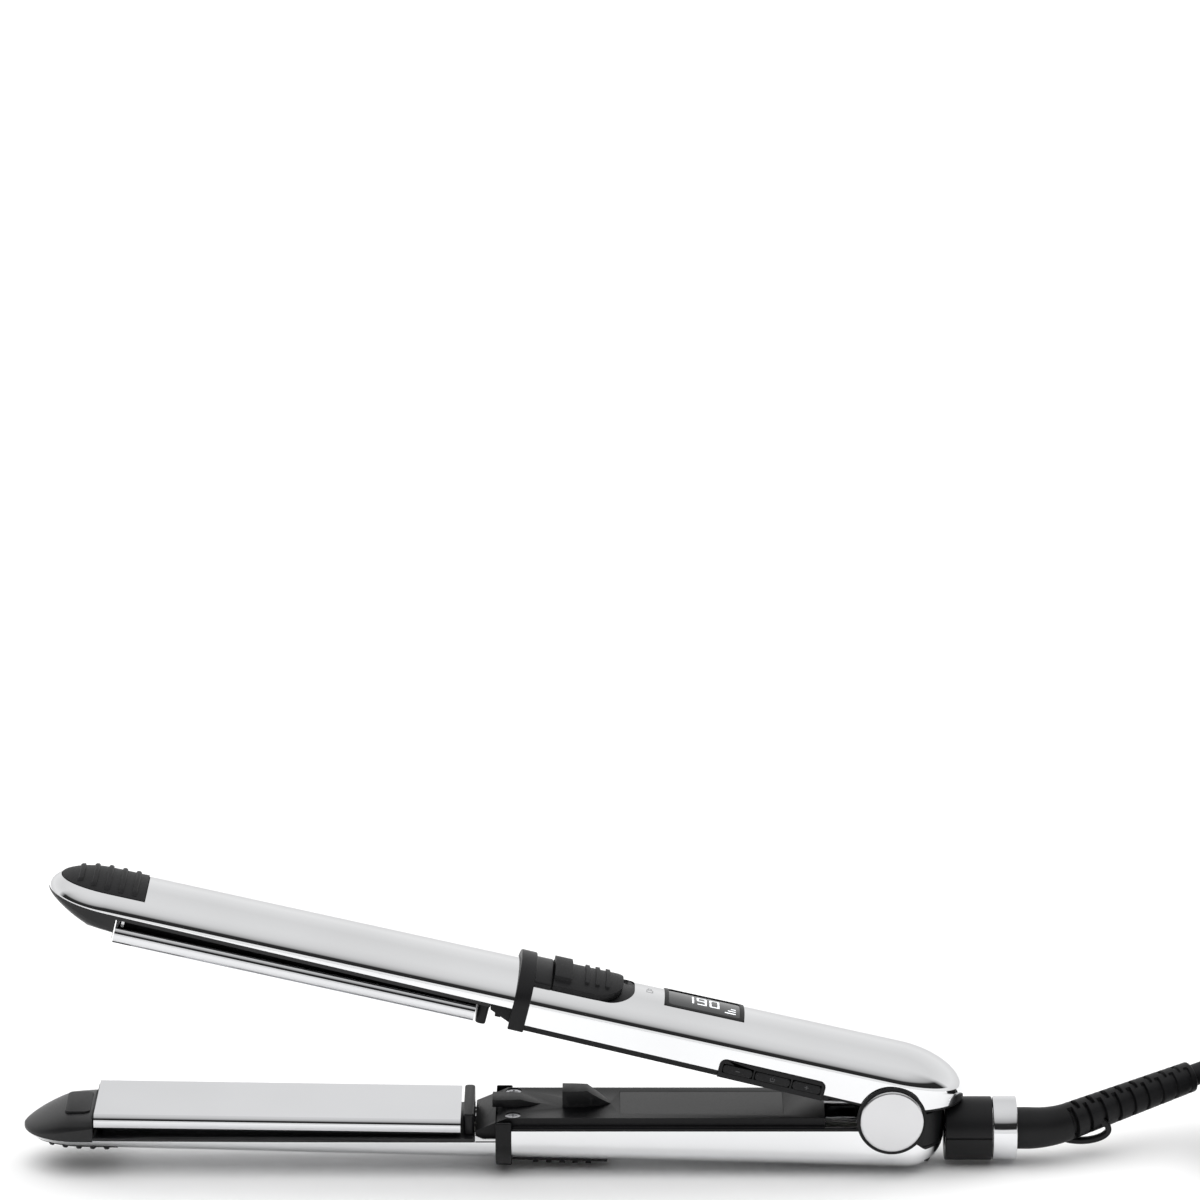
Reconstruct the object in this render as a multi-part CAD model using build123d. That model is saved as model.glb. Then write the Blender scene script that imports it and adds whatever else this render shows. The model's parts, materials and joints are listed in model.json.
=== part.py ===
from build123d import *
import math
import os
from dataclasses import dataclass
from functools import lru_cache

# Two-in-one hair styler: two chrome arms on a pivot, with floating heating plates.
# Millimetres, +Z up, +X from the nose to the cord, origin under the middle of the object.
# Each arm is drawn with the pivot at its origin, its nose towards -X and its outer face towards +Z.

os.makedirs("parts", exist_ok=True)

# Arms
HALF_WIDTH = 15.2
HANDLE_LENGTH = 109.2
COLLAR_WIDTH = 4.6
NECK_LENGTH = 6.2
END_BLOCK_LENGTH = 3.0
END_BLOCK_PROUD = 0.75
PLATE_LENGTH = 105.3
NOSE_BLOCK = 21.2
NOSE_ROUND = 17.0
OPEN_ANGLE = 13.9
WALL = 1.0
ARCH_RISE = 8.0
HANDLE_SPRING = 8.8
REAR_LEVEL = 8.0
BARREL_EDGE = 6.8
EDGE_RISE = 12.6
FACE_GAP = 0.3

# Fits
RUNNING = 0.05
SLIDING = 0.12
SEAT = 0.05
CLEAR = 0.4

# Heating plates
PLATE_HALF_FLAT = 14.0
PLATE_SIDE = 4.6
PLATE_PROUD = 0.65
PLATE_WALL = 1.4
PLATE_TILT = 0.9
PLATE_TRAVEL = 0.5
FRAME_ROOF = 1.1
SKIRT_WALL = 1.3
HEATER_LENGTH = 82.0
HEATER_WIDTH = 16.0
HEATER_THICKNESS = 1.6
SPRING_RADIUS = 1.9
SPRING_WIRE = 0.3

# Nose
NOSE_SLOPE_LENGTH = 13.2
NOSE_TIP_HEIGHT = 5.6
INLAY_LENGTH = 7.6
INLAY_HALF_WIDTH = 8.6
INLAY_DEPTH = 0.8
PAD_LENGTH = 25.0
PAD_HALF_WIDTH = 11.4
PAD_PROUD = 0.25
PAD_RIBS = 5
PAD_RIB_PITCH = 4.5
PAD_RIB_WIDTH = 1.4
PAD_RIB_HEIGHT = 0.75

# Collar, lock slider and grip
COLLAR_SIDE = 0.8
COLLAR_PEAK = 2.6
SLOT_LENGTH = 29.2
SLOT_HALF_WIDTH = 11.2
SLOT_CORNER = 8.0
COLLAR_TONGUE = 5.0
SLIDER_LENGTH = 20.2
SLIDER_PROUD = 1.3
SLIDER_HUMP = 2.6
SLIDER_TRAVEL = 3.5
GRIP_LENGTH = 27.5
GRIP_HALF_WIDTH = 6.4
BOLT_WIDTH = 3.6
BOLT_THICKNESS = 1.6
HOOK_DEPTH = 1.3

# Handle covers
COVER_HALF_WIDTH = 12.7
COVER_WALL = 1.6
COVER_LEDGE = 2.4
COVER_DEPTH = 6.4
COVER_END = 19.0
TRIM_HEIGHT = 0.7
TRIM_WIDTH = 0.6
SCREW_RADIUS = 1.25
SCREW_HEAD = 2.2
SCREW_SPREAD = 10.0
FIN_HALF_WIDTH = 3.6
FIN_LENGTH = 14.0
LABEL_LENGTH = 47.0
LABEL_HALF_WIDTH = 9.0
LABEL_THICKNESS = 0.3

# Display and buttons
LOCK_MARK_LENGTH = 8.8
DISPLAY_LENGTH = 23.6
DISPLAY_HALF_WIDTH = 7.4
BEZEL_WIDTH = 1.3
BUTTON_START = 20.9
BUTTON_BAR = 31.3
BUTTON_BAR_TOP = 6.7
BUTTON_LENGTHS = (8.2, 10.2, 8.5)
BUTTON_HEIGHT = 2.4
BUTTON_LEVEL = 3.9
BUTTON_GAP = 0.9
BUTTON_TRAVEL = 0.6
SWITCH_TOP = 4.6
BOARD_THICKNESS = 1.6

# Hinge
PIN_RADIUS = 2.0
BUSH_WALL = 1.0
KNUCKLE_RADIUS = 6.8
KNUCKLE_HALF = 9.0
FORK_RADIUS = 7.2
FORK_THICKNESS = 3.3
DISC_RADIUS = 9.2
DISC_THICKNESS = 1.5
DISC_RING = 0.9
COIL_RADIUS = 4.0
COIL_WIRE = 0.6

# Cord swivel
SWIVEL_DROP = 8.05
SWIVEL_RADIUS = 9.2
SWIVEL_LENGTH = 13.6
RING_RADIUS = 9.3
RING_LENGTH = 6.9
CORE_RADIUS = 5.2
CORE_FLANGE = 7.3
BOOT_RADIUS = 6.05
BOOT_STRAIGHT = 10.0
BOOT_ARM = 47.0
BOOT_DIRECTION = (0.897, 0.399, 0.191)
BOOT_ARM_RADIUS = 5.4
BOOT_TIP_RADIUS = 4.5
BOOT_SLOTS = 9
BOOT_SLOT_PITCH = 4.8
BOOT_SLOT_WIDTH = 1.2
LOOP_LENGTH = 18.0
LOOP_HEIGHT = 9.0
LOOP_STRAP = 1.8

# Mains cord: free route of its centre line from the boot, then a hank with a tie, and its plug
CORD_RADIUS = 3.2
CORD_FLOOR = 0.1
COIL_CENTRE = (267.0, 1.4)
COIL_HALF_RUN = 34.5
COIL_MIDDLE = 22.0
COIL_COLUMNS = 2
COIL_LAYERS = 4
CORD_ROUTE = [(209.0, 24.4, 21.4), (224.0, 26.9, 23.4), (244.0, 26.7, 23.6)]
TAIL_ROUTE = [(284.0, 26.6, 4.1), (299.0, 26.9, 3.6), (311.0, 23.4, 3.5), (322.0, 15.2, 5.2), (333.5, 12.9, 7.0)]
TIE_WIDTH = 10.0
TIE_THICKNESS = 0.8
PLUG_WIDTH = 35.3
PLUG_HEIGHT = 13.7
PLUG_LENGTH = 32.0
PLUG_PIN_RADIUS = 2.0
PLUG_PIN_LENGTH = 19.0
PLUG_PIN_NECK = 0.3
PLUG_SHANK_RADIUS = 1.7
PLUG_PIN_SPREAD = 18.6

# Places that follow from the sizes above, as distances from the pivot towards the nose
PLATE_HEEL = HANDLE_LENGTH + COLLAR_WIDTH + NECK_LENGTH + END_BLOCK_LENGTH + 2 * CLEAR
PLATE_TOE = PLATE_HEEL + PLATE_LENGTH
ARM_REACH = PLATE_TOE + NOSE_BLOCK
NOSE_STATION = ARM_REACH - NOSE_ROUND
COLLAR_FRONT = HANDLE_LENGTH + COLLAR_WIDTH
COVER_FRONT = COLLAR_FRONT + NECK_LENGTH - CLEAR
SLOT_END = HANDLE_LENGTH - SLOT_LENGTH
DISPLAY_START = SLOT_END - LOCK_MARK_LENGTH - DISPLAY_LENGTH
FORK_INNER = KNUCKLE_HALF + 0.3


@dataclass(frozen=True)
class Arm:
    """One arm's shell: its crown over the pivot, how it falls to the nose, its edge and its rear."""
    crown: float
    taper: float
    edge: float
    rear_station: float
    rear_round: float


UPPER = Arm(crown=17.7, taper=0.0156, edge=2.8, rear_station=0.0, rear_round=20.0)
LOWER = Arm(crown=18.0, taper=0.0262, edge=3.45, rear_station=4.6, rear_round=11.0)
LOWER_REAR_EDGE = 9.6

PIVOT_Z = LOWER.crown
HOUSING_START = LOWER.rear_station + LOWER.rear_round + 0.3
HOUSING_END = HOUSING_START + SWIVEL_LENGTH
RING_END = HOUSING_END + 0.2 + RING_LENGTH
PIVOT_X = (ARM_REACH - RING_END) / 2
SWIVEL_Z = PIVOT_Z - SWIVEL_DROP


# ---------------------------------------------------------------- plain shapes

def block(x, y, z):
    """Box between two values on each axis."""
    size = [high - low for low, high in (x, y, z)]
    middle = [(high + low) / 2 for low, high in (x, y, z)]
    return Pos(*middle) * Box(*size)


def side_prism(points, half):
    """Prism across the arm from an outline of (x, z) points."""
    face = make_face(Polyline(*points, close=True))
    return extrude(Plane.XZ * face, amount=half, both=True)


def rod(radius, low, high):
    """Cylinder along Y."""
    return Pos(0, (low + high) / 2, 0) * Rot(X=90) * Cylinder(radius, high - low)


def shaft(radius, low, high):
    """Cylinder along X."""
    return Pos((low + high) / 2, 0, 0) * Rot(Y=90) * Cylinder(radius, high - low)


def plan_prism(plan, low, high):
    """Upright prism from a plan sketch."""
    return Pos(0, 0, low) * extrude(plan, amount=high - low)


def spring(radius, wire, height, turns):
    """Coil spring standing on the XY plane, from the middle of its wire."""
    path = Helix(pitch=height / turns, height=height, radius=radius)
    return sweep(Plane(origin=path @ 0, z_dir=path % 0) * Circle(wire), path=path)


def place_upper(shape):
    return Pos(PIVOT_X, 0, PIVOT_Z) * Rot(Y=OPEN_ANGLE) * shape


def place_lower(shape):
    return Pos(PIVOT_X, 0, PIVOT_Z) * mirror(shape, about=Plane.XY)


# ---------------------------------------------------------------- the arms' outer form

def crown_at(arm, distance):
    return arm.crown - arm.taper * distance


@lru_cache(maxsize=None)
def vault(arm, grow=0.0):
    """The arm's arch without its ends: straight walls, then half an ellipse that falls to the nose."""
    half = HALF_WIDTH + grow
    start = ARM_REACH + 20
    spring_line = crown_at(arm, start) - ARCH_RISE
    walls = Polyline((-half, spring_line), (-half, -30), (half, -30), (half, spring_line))
    arch = EllipticalCenterArc((0, spring_line), half, ARCH_RISE + grow, arc_size=180)
    plane = Plane(origin=(-start, 0, 0), x_dir=(0, 1, 0), z_dir=(1, 0, 0))
    return extrude(plane * make_face(walls + arch), amount=start + 60, dir=(1, 0, arm.taper))


def plan_outline(arm, grow):
    """Plan of the arm: parallel sides and an elliptical end at each end."""
    half = HALF_WIDTH + grow
    length = NOSE_STATION + arm.rear_station
    middle = Pos((arm.rear_station - NOSE_STATION) / 2, 0) * Rectangle(length, 2 * half)
    nose = Pos(-NOSE_STATION, 0) * Ellipse(NOSE_ROUND + grow, half)
    rear = Pos(arm.rear_station, 0) * Ellipse(arm.rear_round + grow, half)
    return middle + nose + rear


def side_outline(arm, grow):
    """Side view of the arm: the sloping crown with a quarter ellipse down each end."""
    nose_top = crown_at(arm, NOSE_STATION) + grow
    rear_top = crown_at(arm, -arm.rear_station) + grow
    toe = -NOSE_STATION - NOSE_ROUND - grow
    tail = arm.rear_station + arm.rear_round + grow
    nose = EllipticalCenterArc((-NOSE_STATION, BARREL_EDGE), NOSE_ROUND + grow, nose_top - BARREL_EDGE,
                               start_angle=90, arc_size=90)
    rear = EllipticalCenterArc((arm.rear_station, REAR_LEVEL), arm.rear_round + grow, rear_top - REAR_LEVEL,
                               start_angle=0, arc_size=90)
    crown = Line((arm.rear_station, rear_top), (-NOSE_STATION, nose_top))
    base = Polyline((toe, BARREL_EDGE), (toe, 0), (tail, 0), (tail, REAR_LEVEL))
    return Plane.XZ * make_face(rear + crown + nose + base)


@lru_cache(maxsize=None)
def envelope(arm, grow=0.0):
    """The arm's solid outer form, grown or shrunk all round its outside."""
    plan = plan_prism(plan_outline(arm, grow), 0, 2 * arm.crown)
    side = extrude(side_outline(arm, grow), amount=2 * HALF_WIDTH, both=True)
    return vault(arm, grow) & plan & side


def skin(arm, outer, inner):
    """Layer of the arm's form between two offsets."""
    return envelope(arm, outer) - envelope(arm, inner)


def vault_layer(arm, outer, inner, region):
    """Layer of the arch between two offsets, within a region away from the ends."""
    return (vault(arm, outer) & region) - vault(arm, inner)


def rear_edge_points(arm, drop):
    """The shell's edge from the pivot to beyond its rear end."""
    beyond = arm.rear_station + arm.rear_round + 5
    if arm is UPPER:
        rise = beyond * math.tan(math.radians(EDGE_RISE))
        return [(0, arm.edge - drop), (beyond, arm.edge + rise - drop)]
    return [(0, arm.edge - drop), (FORK_RADIUS, LOWER_REAR_EDGE - drop), (beyond, LOWER_REAR_EDGE - drop)]


def under_edge(arm, drop=0.0):
    """Everything on the inner side of the shell's edge."""
    front = -(ARM_REACH + 5)
    step = -(HANDLE_LENGTH + COLLAR_FRONT) / 2
    points = [(front, -5), (front, BARREL_EDGE - drop), (step, BARREL_EDGE - drop), (step, arm.edge - drop)]
    points += rear_edge_points(arm, drop)
    points.append((points[-1][0], -5))
    return side_prism(points, 2 * HALF_WIDTH)


# ---------------------------------------------------------------- plans of the shells' openings

def pad_plan(shrink=0.0):
    """Plan of the finger pad: it follows the nose at a margin and ends square."""
    margin = HALF_WIDTH - PAD_HALF_WIDTH
    front = Pos(-NOSE_STATION, 0) * Ellipse(NOSE_ROUND - 0.7 * margin - shrink, PAD_HALF_WIDTH - shrink)
    pad_front = NOSE_STATION + NOSE_ROUND - 0.7 * margin
    length = NOSE_STATION - (pad_front - PAD_LENGTH) - shrink
    rest = Pos(-NOSE_STATION + length / 2, 0) * Rectangle(length, 2 * (PAD_HALF_WIDTH - shrink))
    nose_side = Pos(-NOSE_STATION - NOSE_ROUND / 2, 0) * Rectangle(NOSE_ROUND, 4 * HALF_WIDTH)
    return (front & nose_side) + rest


def slot_plan(start, end, shrink=0.0):
    """Plan of the lock slider's slot between two distances: square in front, round at the rear."""
    length = start - end
    rounded = RectangleRounded(2 * length, 2 * (SLOT_HALF_WIDTH - shrink), SLOT_CORNER - shrink)
    behind = Pos(length / 2, 0) * Rectangle(length, 4 * SLOT_HALF_WIDTH)
    return Pos(-start, 0) * (rounded & behind)


def display_plan(shrink=0.0):
    middle = -(DISPLAY_START + DISPLAY_LENGTH / 2)
    size = (DISPLAY_LENGTH - 2 * shrink, 2 * (DISPLAY_HALF_WIDTH - shrink))
    return Pos(middle, 0) * RectangleRounded(*size, 1.2)


def button_bar(shrink=0.0, depth=HALF_WIDTH + 1):
    """Outline of the button bar in the near wall, from the parting plane up."""
    middle = -(BUTTON_START + BUTTON_BAR / 2)
    height = BUTTON_BAR_TOP - shrink
    bar = Pos(middle, 0) * RectangleRounded(BUTTON_BAR - 2 * shrink, 2 * height, 2.0)
    half = extrude(Plane.XZ * bar, amount=depth)
    return half & block((-2 * HANDLE_LENGTH, 0), (-depth, 0), (0, 2 * height))


# ---------------------------------------------------------------- arms: shells, frames, trim

def shell(arm):
    body = skin(arm, 0, -WALL) - under_edge(arm)
    body -= plan_prism(pad_plan(), BARREL_EDGE, 2 * arm.crown)
    if arm is UPPER:
        body -= plan_prism(slot_plan(HANDLE_LENGTH + SEAT, SLOT_END), HANDLE_SPRING - 2, 2 * arm.crown)
        body -= plan_prism(display_plan(), HANDLE_SPRING, 2 * arm.crown)
        body -= button_bar()
    return body


def frame(arm):
    """Black insulating rail around the plate, with the nose at its end."""
    roof = BARREL_EDGE - FRAME_ROOF
    toe = PLATE_TOE + CLEAR
    profile = [(-ARM_REACH - 1, BARREL_EDGE - SEAT), (-ARM_REACH - 1, NOSE_TIP_HEIGHT + 0.4),
               (-ARM_REACH, NOSE_TIP_HEIGHT), (-ARM_REACH + NOSE_SLOPE_LENGTH, 0), (-toe, 0), (-toe, roof),
               (-COVER_FRONT - CLEAR, roof), (-COVER_FRONT - CLEAR, BARREL_EDGE - SEAT)]
    body = envelope(arm, -SEAT) & side_prism(profile, 2 * HALF_WIDTH)
    skirt_half = PLATE_HALF_FLAT - PLATE_WALL - CLEAR
    skirt_ends = (-(PLATE_TOE - PLATE_WALL - 2 * CLEAR), -(PLATE_HEEL + PLATE_WALL + 2 * CLEAR))
    inner_ends = (skirt_ends[0] + SKIRT_WALL, skirt_ends[1] - SKIRT_WALL)
    inner_half = skirt_half - SKIRT_WALL
    skirt = block(skirt_ends, (-skirt_half, skirt_half), (plate_back() + PLATE_TRAVEL + CLEAR, roof))
    skirt -= block(inner_ends, (-inner_half, inner_half), (0, roof))
    body += skirt
    body -= plan_prism(inlay_plan(), 0, INLAY_DEPTH)
    for x in spring_places():
        body -= Pos(x, 0, 0) * Cylinder(SPRING_RADIUS + SPRING_WIRE + SLIDING, 2 * (BARREL_EDGE - 0.5))
    return body


def plate_back():
    """Highest point of the plate's inner face at rest, with its tilt."""
    return PLATE_WALL - PLATE_PROUD + PLATE_LENGTH / 2 * math.tan(math.radians(PLATE_TILT))


def inlay_plan(shrink=0.0):
    front = PLATE_TOE + CLEAR + 1.0 + INLAY_LENGTH
    size = (INLAY_LENGTH - 2 * shrink, 2 * (INLAY_HALF_WIDTH - shrink))
    return Pos(-front + INLAY_LENGTH / 2, 0) * RectangleRounded(*size, 1.8)


def nose_inlay():
    return plan_prism(inlay_plan(SLIDING), -0.15, INLAY_DEPTH - SEAT)


def finger_pad(arm):
    pad = skin(arm, PAD_PROUD, -WALL) & plan_prism(pad_plan(SEAT), BARREL_EDGE + SEAT, 2 * arm.crown)
    ribs = skin(arm, PAD_PROUD + PAD_RIB_HEIGHT, -WALL / 2)
    pad_front = ARM_REACH - 0.7 * (HALF_WIDTH - PAD_HALF_WIDTH)
    rear_rib = pad_front - PAD_LENGTH + PAD_RIB_PITCH / 2
    for count in range(PAD_RIBS):
        x = -(rear_rib + count * PAD_RIB_PITCH)
        half = PAD_HALF_WIDTH * (0.82 - 0.05 * count)
        width = (x - PAD_RIB_WIDTH / 2, x + PAD_RIB_WIDTH / 2)
        strip = block(width, (-half, half), (BARREL_EDGE, 2 * arm.crown))
        pad += ribs & strip
    return pad


def end_block(arm):
    """Insulating block between the plate's inner end and the neck."""
    front = -(COVER_FRONT + CLEAR + END_BLOCK_LENGTH)
    half = HALF_WIDTH - 2.6
    plan = Pos(front + END_BLOCK_LENGTH / 2, 0) * RectangleRounded(END_BLOCK_LENGTH, 2 * half, 1.2)
    return plan_prism(plan, -END_BLOCK_PROUD, BARREL_EDGE - FRAME_ROOF - SEAT)


def collar_ring(arm, flat=None):
    """U-shaped ring over the shell, peaked on its outer side."""
    top = crown_at(arm, HANDLE_LENGTH) + COLLAR_PEAK
    half = HALF_WIDTH + COLLAR_SIDE
    spring_line = top - ARCH_RISE - COLLAR_PEAK
    foot = FACE_GAP + CLEAR
    walls = Polyline((-half, spring_line), (-half, foot), (half, foot), (half, spring_line))
    arch = EllipticalCenterArc((0, spring_line), half, top - spring_line, arc_size=180)
    plane = Plane(origin=(-COLLAR_FRONT, 0, 0), x_dir=(0, 1, 0), z_dir=(1, 0, 0))
    ring = extrude(plane * make_face(walls + arch), amount=COLLAR_WIDTH) - vault(arm, SEAT)
    if flat is not None:
        ring -= block((-2 * HANDLE_LENGTH, 0), (-2 * half, 2 * half), (flat, 2 * top))
    return ring


def upper_collar():
    """Ring with a tongue that fills the front of the slider's slot."""
    half = SLOT_HALF_WIDTH - SEAT
    tongue_end = -HANDLE_LENGTH + COLLAR_TONGUE
    outer = block((-HANDLE_LENGTH - 1, tongue_end), (-half, half), (HANDLE_SPRING, 40))
    inner = block((-HANDLE_LENGTH, tongue_end), (-half, half), (HANDLE_SPRING, 40))
    tongue = vault_layer(UPPER, SLIDER_PROUD, SEAT, outer)
    tongue += vault_layer(UPPER, SLIDER_PROUD, -WALL + SEAT, inner)
    return collar_ring(UPPER) + tongue


def rear_grip():
    """Ribbed tongue under the lower handle, behind the collar."""
    start = -HANDLE_LENGTH + SEAT
    strip = block((start, start + GRIP_LENGTH), (-GRIP_HALF_WIDTH, GRIP_HALF_WIDTH), (HANDLE_SPRING, 30))
    grip = vault_layer(LOWER, 0.9, SEAT, strip)
    for count in range(PAD_RIBS):
        x = start + GRIP_LENGTH - 5.5 - count * 3.8
        rib = block((x - 0.8, x + 0.8), (-GRIP_HALF_WIDTH + 1, GRIP_HALF_WIDTH - 1), (HANDLE_SPRING, 30))
        grip += vault_layer(LOWER, 1.7, 0.5, rib)
    return grip


# ---------------------------------------------------------------- heating plates

def tilted(shape):
    """A plate's own pieces lean a little, with the toe further out."""
    middle = -(PLATE_TOE + PLATE_HEEL) / 2
    return Pos(middle, 0, 0) * Rot(Y=-PLATE_TILT) * Pos(-middle, 0, 0) * shape


def plate():
    low = -PLATE_PROUD
    high = low + PLATE_SIDE
    flat = PLATE_HALF_FLAT
    base = Line((-flat, low), (flat, low))
    right = ThreePointArc((flat, low), (HALF_WIDTH, (low + high) / 2), (flat, high))
    top = Line((flat, high), (-flat, high))
    left = ThreePointArc((-flat, high), (-HALF_WIDTH, (low + high) / 2), (-flat, low))
    plane = Plane(origin=(-PLATE_TOE, 0, 0), x_dir=(0, 1, 0), z_dir=(1, 0, 0))
    body = extrude(plane * make_face(base + right + top + left), amount=PLATE_LENGTH)
    inner = flat - PLATE_WALL
    ends = (-PLATE_TOE + PLATE_WALL, -PLATE_HEEL - PLATE_WALL)
    body -= block(ends, (-inner, inner), (low + PLATE_WALL, high + 1))
    return tilted(body)


def heater():
    middle = -(PLATE_TOE + PLATE_HEEL) / 2
    low = PLATE_WALL - PLATE_PROUD + 0.02
    half = HEATER_WIDTH / 2
    ends = (middle - HEATER_LENGTH / 2, middle + HEATER_LENGTH / 2)
    return tilted(block(ends, (-half, half), (low, low + HEATER_THICKNESS)))


def spring_places():
    """Middles of the plate springs, evenly spread over the heater."""
    middle = -(PLATE_TOE + PLATE_HEEL) / 2
    return [middle + HEATER_LENGTH * share for share in (-0.4, 0, 0.4)]


def plate_springs():
    """Springs in the frame's pockets; the plate presses into them as it gives."""
    top = BARREL_EDGE - 0.5 - SPRING_WIRE - SEAT
    springs = []
    for x in spring_places():
        lean = (x + (PLATE_TOE + PLATE_HEEL) / 2) * math.tan(math.radians(PLATE_TILT))
        low = PLATE_WALL - PLATE_PROUD + HEATER_THICKNESS + lean + PLATE_TRAVEL + SPRING_WIRE + 0.1
        springs.append(Pos(x, 0, low) * spring(SPRING_RADIUS, SPRING_WIRE, top - low, 2))
    return Compound(children=springs)


# ---------------------------------------------------------------- handle covers

def cover_body(arm):
    """Tray under the handle: flat face, side walls, a ledge, and a neck towards the plate."""
    inner = BARREL_EDGE - FRAME_ROOF
    profile = [(-COVER_FRONT, inner), (-COVER_FRONT, 4.2), (-HANDLE_LENGTH - 1.3, FACE_GAP),
               (-COVER_END, FACE_GAP), (-COVER_END, COVER_DEPTH), (-COVER_FRONT + 2, COVER_DEPTH)]
    body = side_prism(profile, COVER_HALF_WIDTH)
    hollow = COVER_HALF_WIDTH - COVER_WALL
    body -= block((-HANDLE_LENGTH, -COVER_END - COVER_WALL), (-hollow, hollow), (FACE_GAP + COVER_WALL, 20))
    ends = (-HANDLE_LENGTH + 0.3, -COVER_END)
    reach = HALF_WIDTH - WALL - SEAT
    for side in (-1, 1):
        ledge = sorted((side * (COVER_HALF_WIDTH - 0.5), side * reach))
        body += block(ends, ledge, (COVER_LEDGE, COVER_LEDGE + 1.6))
    return body


def trim(arm):
    """Black rim that closes the joint along the shell's edge, and its web to the cover."""
    rim = skin(arm, -SEAT, -WALL - TRIM_WIDTH) & under_edge(arm, SEAT)
    rim -= under_edge(arm, TRIM_HEIGHT + SEAT)
    rim -= block((-400, -HANDLE_LENGTH + 0.3), (-40, 40), (-10, 30))
    return rim


def screw_places():
    return [(-HANDLE_LENGTH + 0.4, side * SCREW_SPREAD) for side in (-1, 1)]


def screw_holes():
    holes = []
    for x, y in screw_places():
        head = Pos(x, y, 0) * Cylinder(SCREW_HEAD + SLIDING, 2 * (FACE_GAP + 1.0))
        holes += [head, Pos(x, y, 0) * Cylinder(SCREW_RADIUS + SLIDING, 40)]
    return holes


def screws():
    """Pan-head screws with a cross in the head, sunk in the cover."""
    pieces = []
    for x, y in screw_places():
        low = FACE_GAP + 0.3
        head = Pos(x, y, low + 0.35) * Cylinder(SCREW_HEAD, 0.7)
        thread = Pos(x, y, low + 3.2) * Cylinder(SCREW_RADIUS, 5.2)
        cross = Pos(x, y, low) * (Box(2.6, 0.5, 0.6) + Box(0.5, 2.6, 0.6))
        pieces.append(head + thread - cross)
    return Compound(children=pieces)


def fin(front, height):
    """Guide fin on the lower cover: a half drop in plan, open towards the nose for the lock's hook."""
    plan = Pos(-front, 0) * Ellipse(FIN_LENGTH, FIN_HALF_WIDTH)
    behind = Pos(-front + FIN_LENGTH / 2, 0) * Rectangle(FIN_LENGTH, 4 * FIN_HALF_WIDTH)
    drop = extrude(plan & behind, amount=-height + FACE_GAP)
    drop = Pos(0, 0, FACE_GAP) * drop
    slope = side_prism([(-front, -height), (-front, 2), (-front + FIN_LENGTH, 2), (-front + FIN_LENGTH, FACE_GAP),
                        (-front + 0.45 * FIN_LENGTH, -height)], 2 * FIN_HALF_WIDTH)
    return drop & slope


def fin_fronts():
    return [(HANDLE_LENGTH + COLLAR_WIDTH + 1.0, 2.4), (HANDLE_LENGTH - 14.6, 5.0)]


def lower_cover():
    body = cover_body(LOWER) + trim(LOWER)
    for front, height in fin_fronts():
        body += fin(front, height)
        half = FIN_HALF_WIDTH - 1.2
        body -= block((-front - 1, -front + 4.4), (-half, half), (-height + 0.9, FACE_GAP - 0.05))
    for hole in screw_holes():
        body -= hole
    middle = -label_middle()
    half = LABEL_LENGTH / 2 + SLIDING
    body -= block((middle - half, middle + half), (-LABEL_HALF_WIDTH - SLIDING, LABEL_HALF_WIDTH + SLIDING),
                  (-1, FACE_GAP + LABEL_THICKNESS + SEAT))
    return body


def label_middle():
    return (HANDLE_LENGTH - 31.3 + COVER_END + 12) / 2


def rating_label():
    middle = -label_middle()
    half = LABEL_LENGTH / 2
    return block((middle - half, middle + half), (-LABEL_HALF_WIDTH, LABEL_HALF_WIDTH),
                 (FACE_GAP + 0.02, FACE_GAP + LABEL_THICKNESS))


def upper_cover():
    body = cover_body(UPPER) + trim(UPPER)
    for front, _ in fin_fronts():
        half = FIN_HALF_WIDTH + 1.2
        body -= block((-front - 1.6, -front + FIN_LENGTH + 1.0), (-half, half), (-1, 30))
    hook_reach = (-COVER_FRONT + 1.0, -COLLAR_FRONT + 1)
    body -= block(hook_reach, (-BOLT_WIDTH, BOLT_WIDTH), (-1, 30))
    for hole in screw_holes():
        body -= hole
    bar = (-BUTTON_START - BUTTON_BAR - SEAT, -BUTTON_START + SEAT)
    body -= block(bar, (-30, -COVER_HALF_WIDTH + COVER_WALL), (FACE_GAP + COVER_WALL, 30))
    body -= block(bar, (-30, -COVER_HALF_WIDTH + SLIDING), (-1, 30))
    return body


# ---------------------------------------------------------------- lock slider

def slider_span():
    front = HANDLE_LENGTH - COLLAR_TONGUE - CLEAR
    return front, front - SLIDER_LENGTH


def lock_slider():
    """Ribbed thumb slider; its underside clears the tray below by a sliding gap."""
    front, rear = slider_span()
    plan = plan_prism(slot_plan(front, rear, 2 * SLIDING), HANDLE_SPRING, 2 * UPPER.crown)
    body = vault_layer(UPPER, SLIDER_PROUD, -WALL + 3 * SLIDING, plan)
    half = SLOT_HALF_WIDTH - 2.5
    hump = block((-front, -front + 5.0), (-half, half), (HANDLE_SPRING, 40))
    body += vault_layer(UPPER, SLIDER_HUMP, 0, hump)
    for count in range(3):
        x = -rear - 4.6 - count * 3.0
        rib = block((x - 0.6, x + 0.6), (-half + 1, half - 1), (HANDLE_SPRING, 40))
        body += vault_layer(UPPER, SLIDER_PROUD + 0.6, 0, rib)
    return body


def slot_liner():
    """Tray inside the shell under the slider, slotted for the bolt."""
    plan = slot_plan(HANDLE_LENGTH - SEAT, SLOT_END - 2.0, -1.6)
    region = plan_prism(plan, HANDLE_SPRING + 1.0, 2 * UPPER.crown)
    tray = vault_layer(UPPER, -WALL - SEAT, -WALL - 1.1, region)
    stem = bolt_stem()
    half = BOLT_WIDTH / 2 + CLEAR
    return tray - block((stem - 1.5 - CLEAR, stem + 1.5 + SLIDER_TRAVEL + CLEAR), (-half, half), (0, 40))


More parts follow.
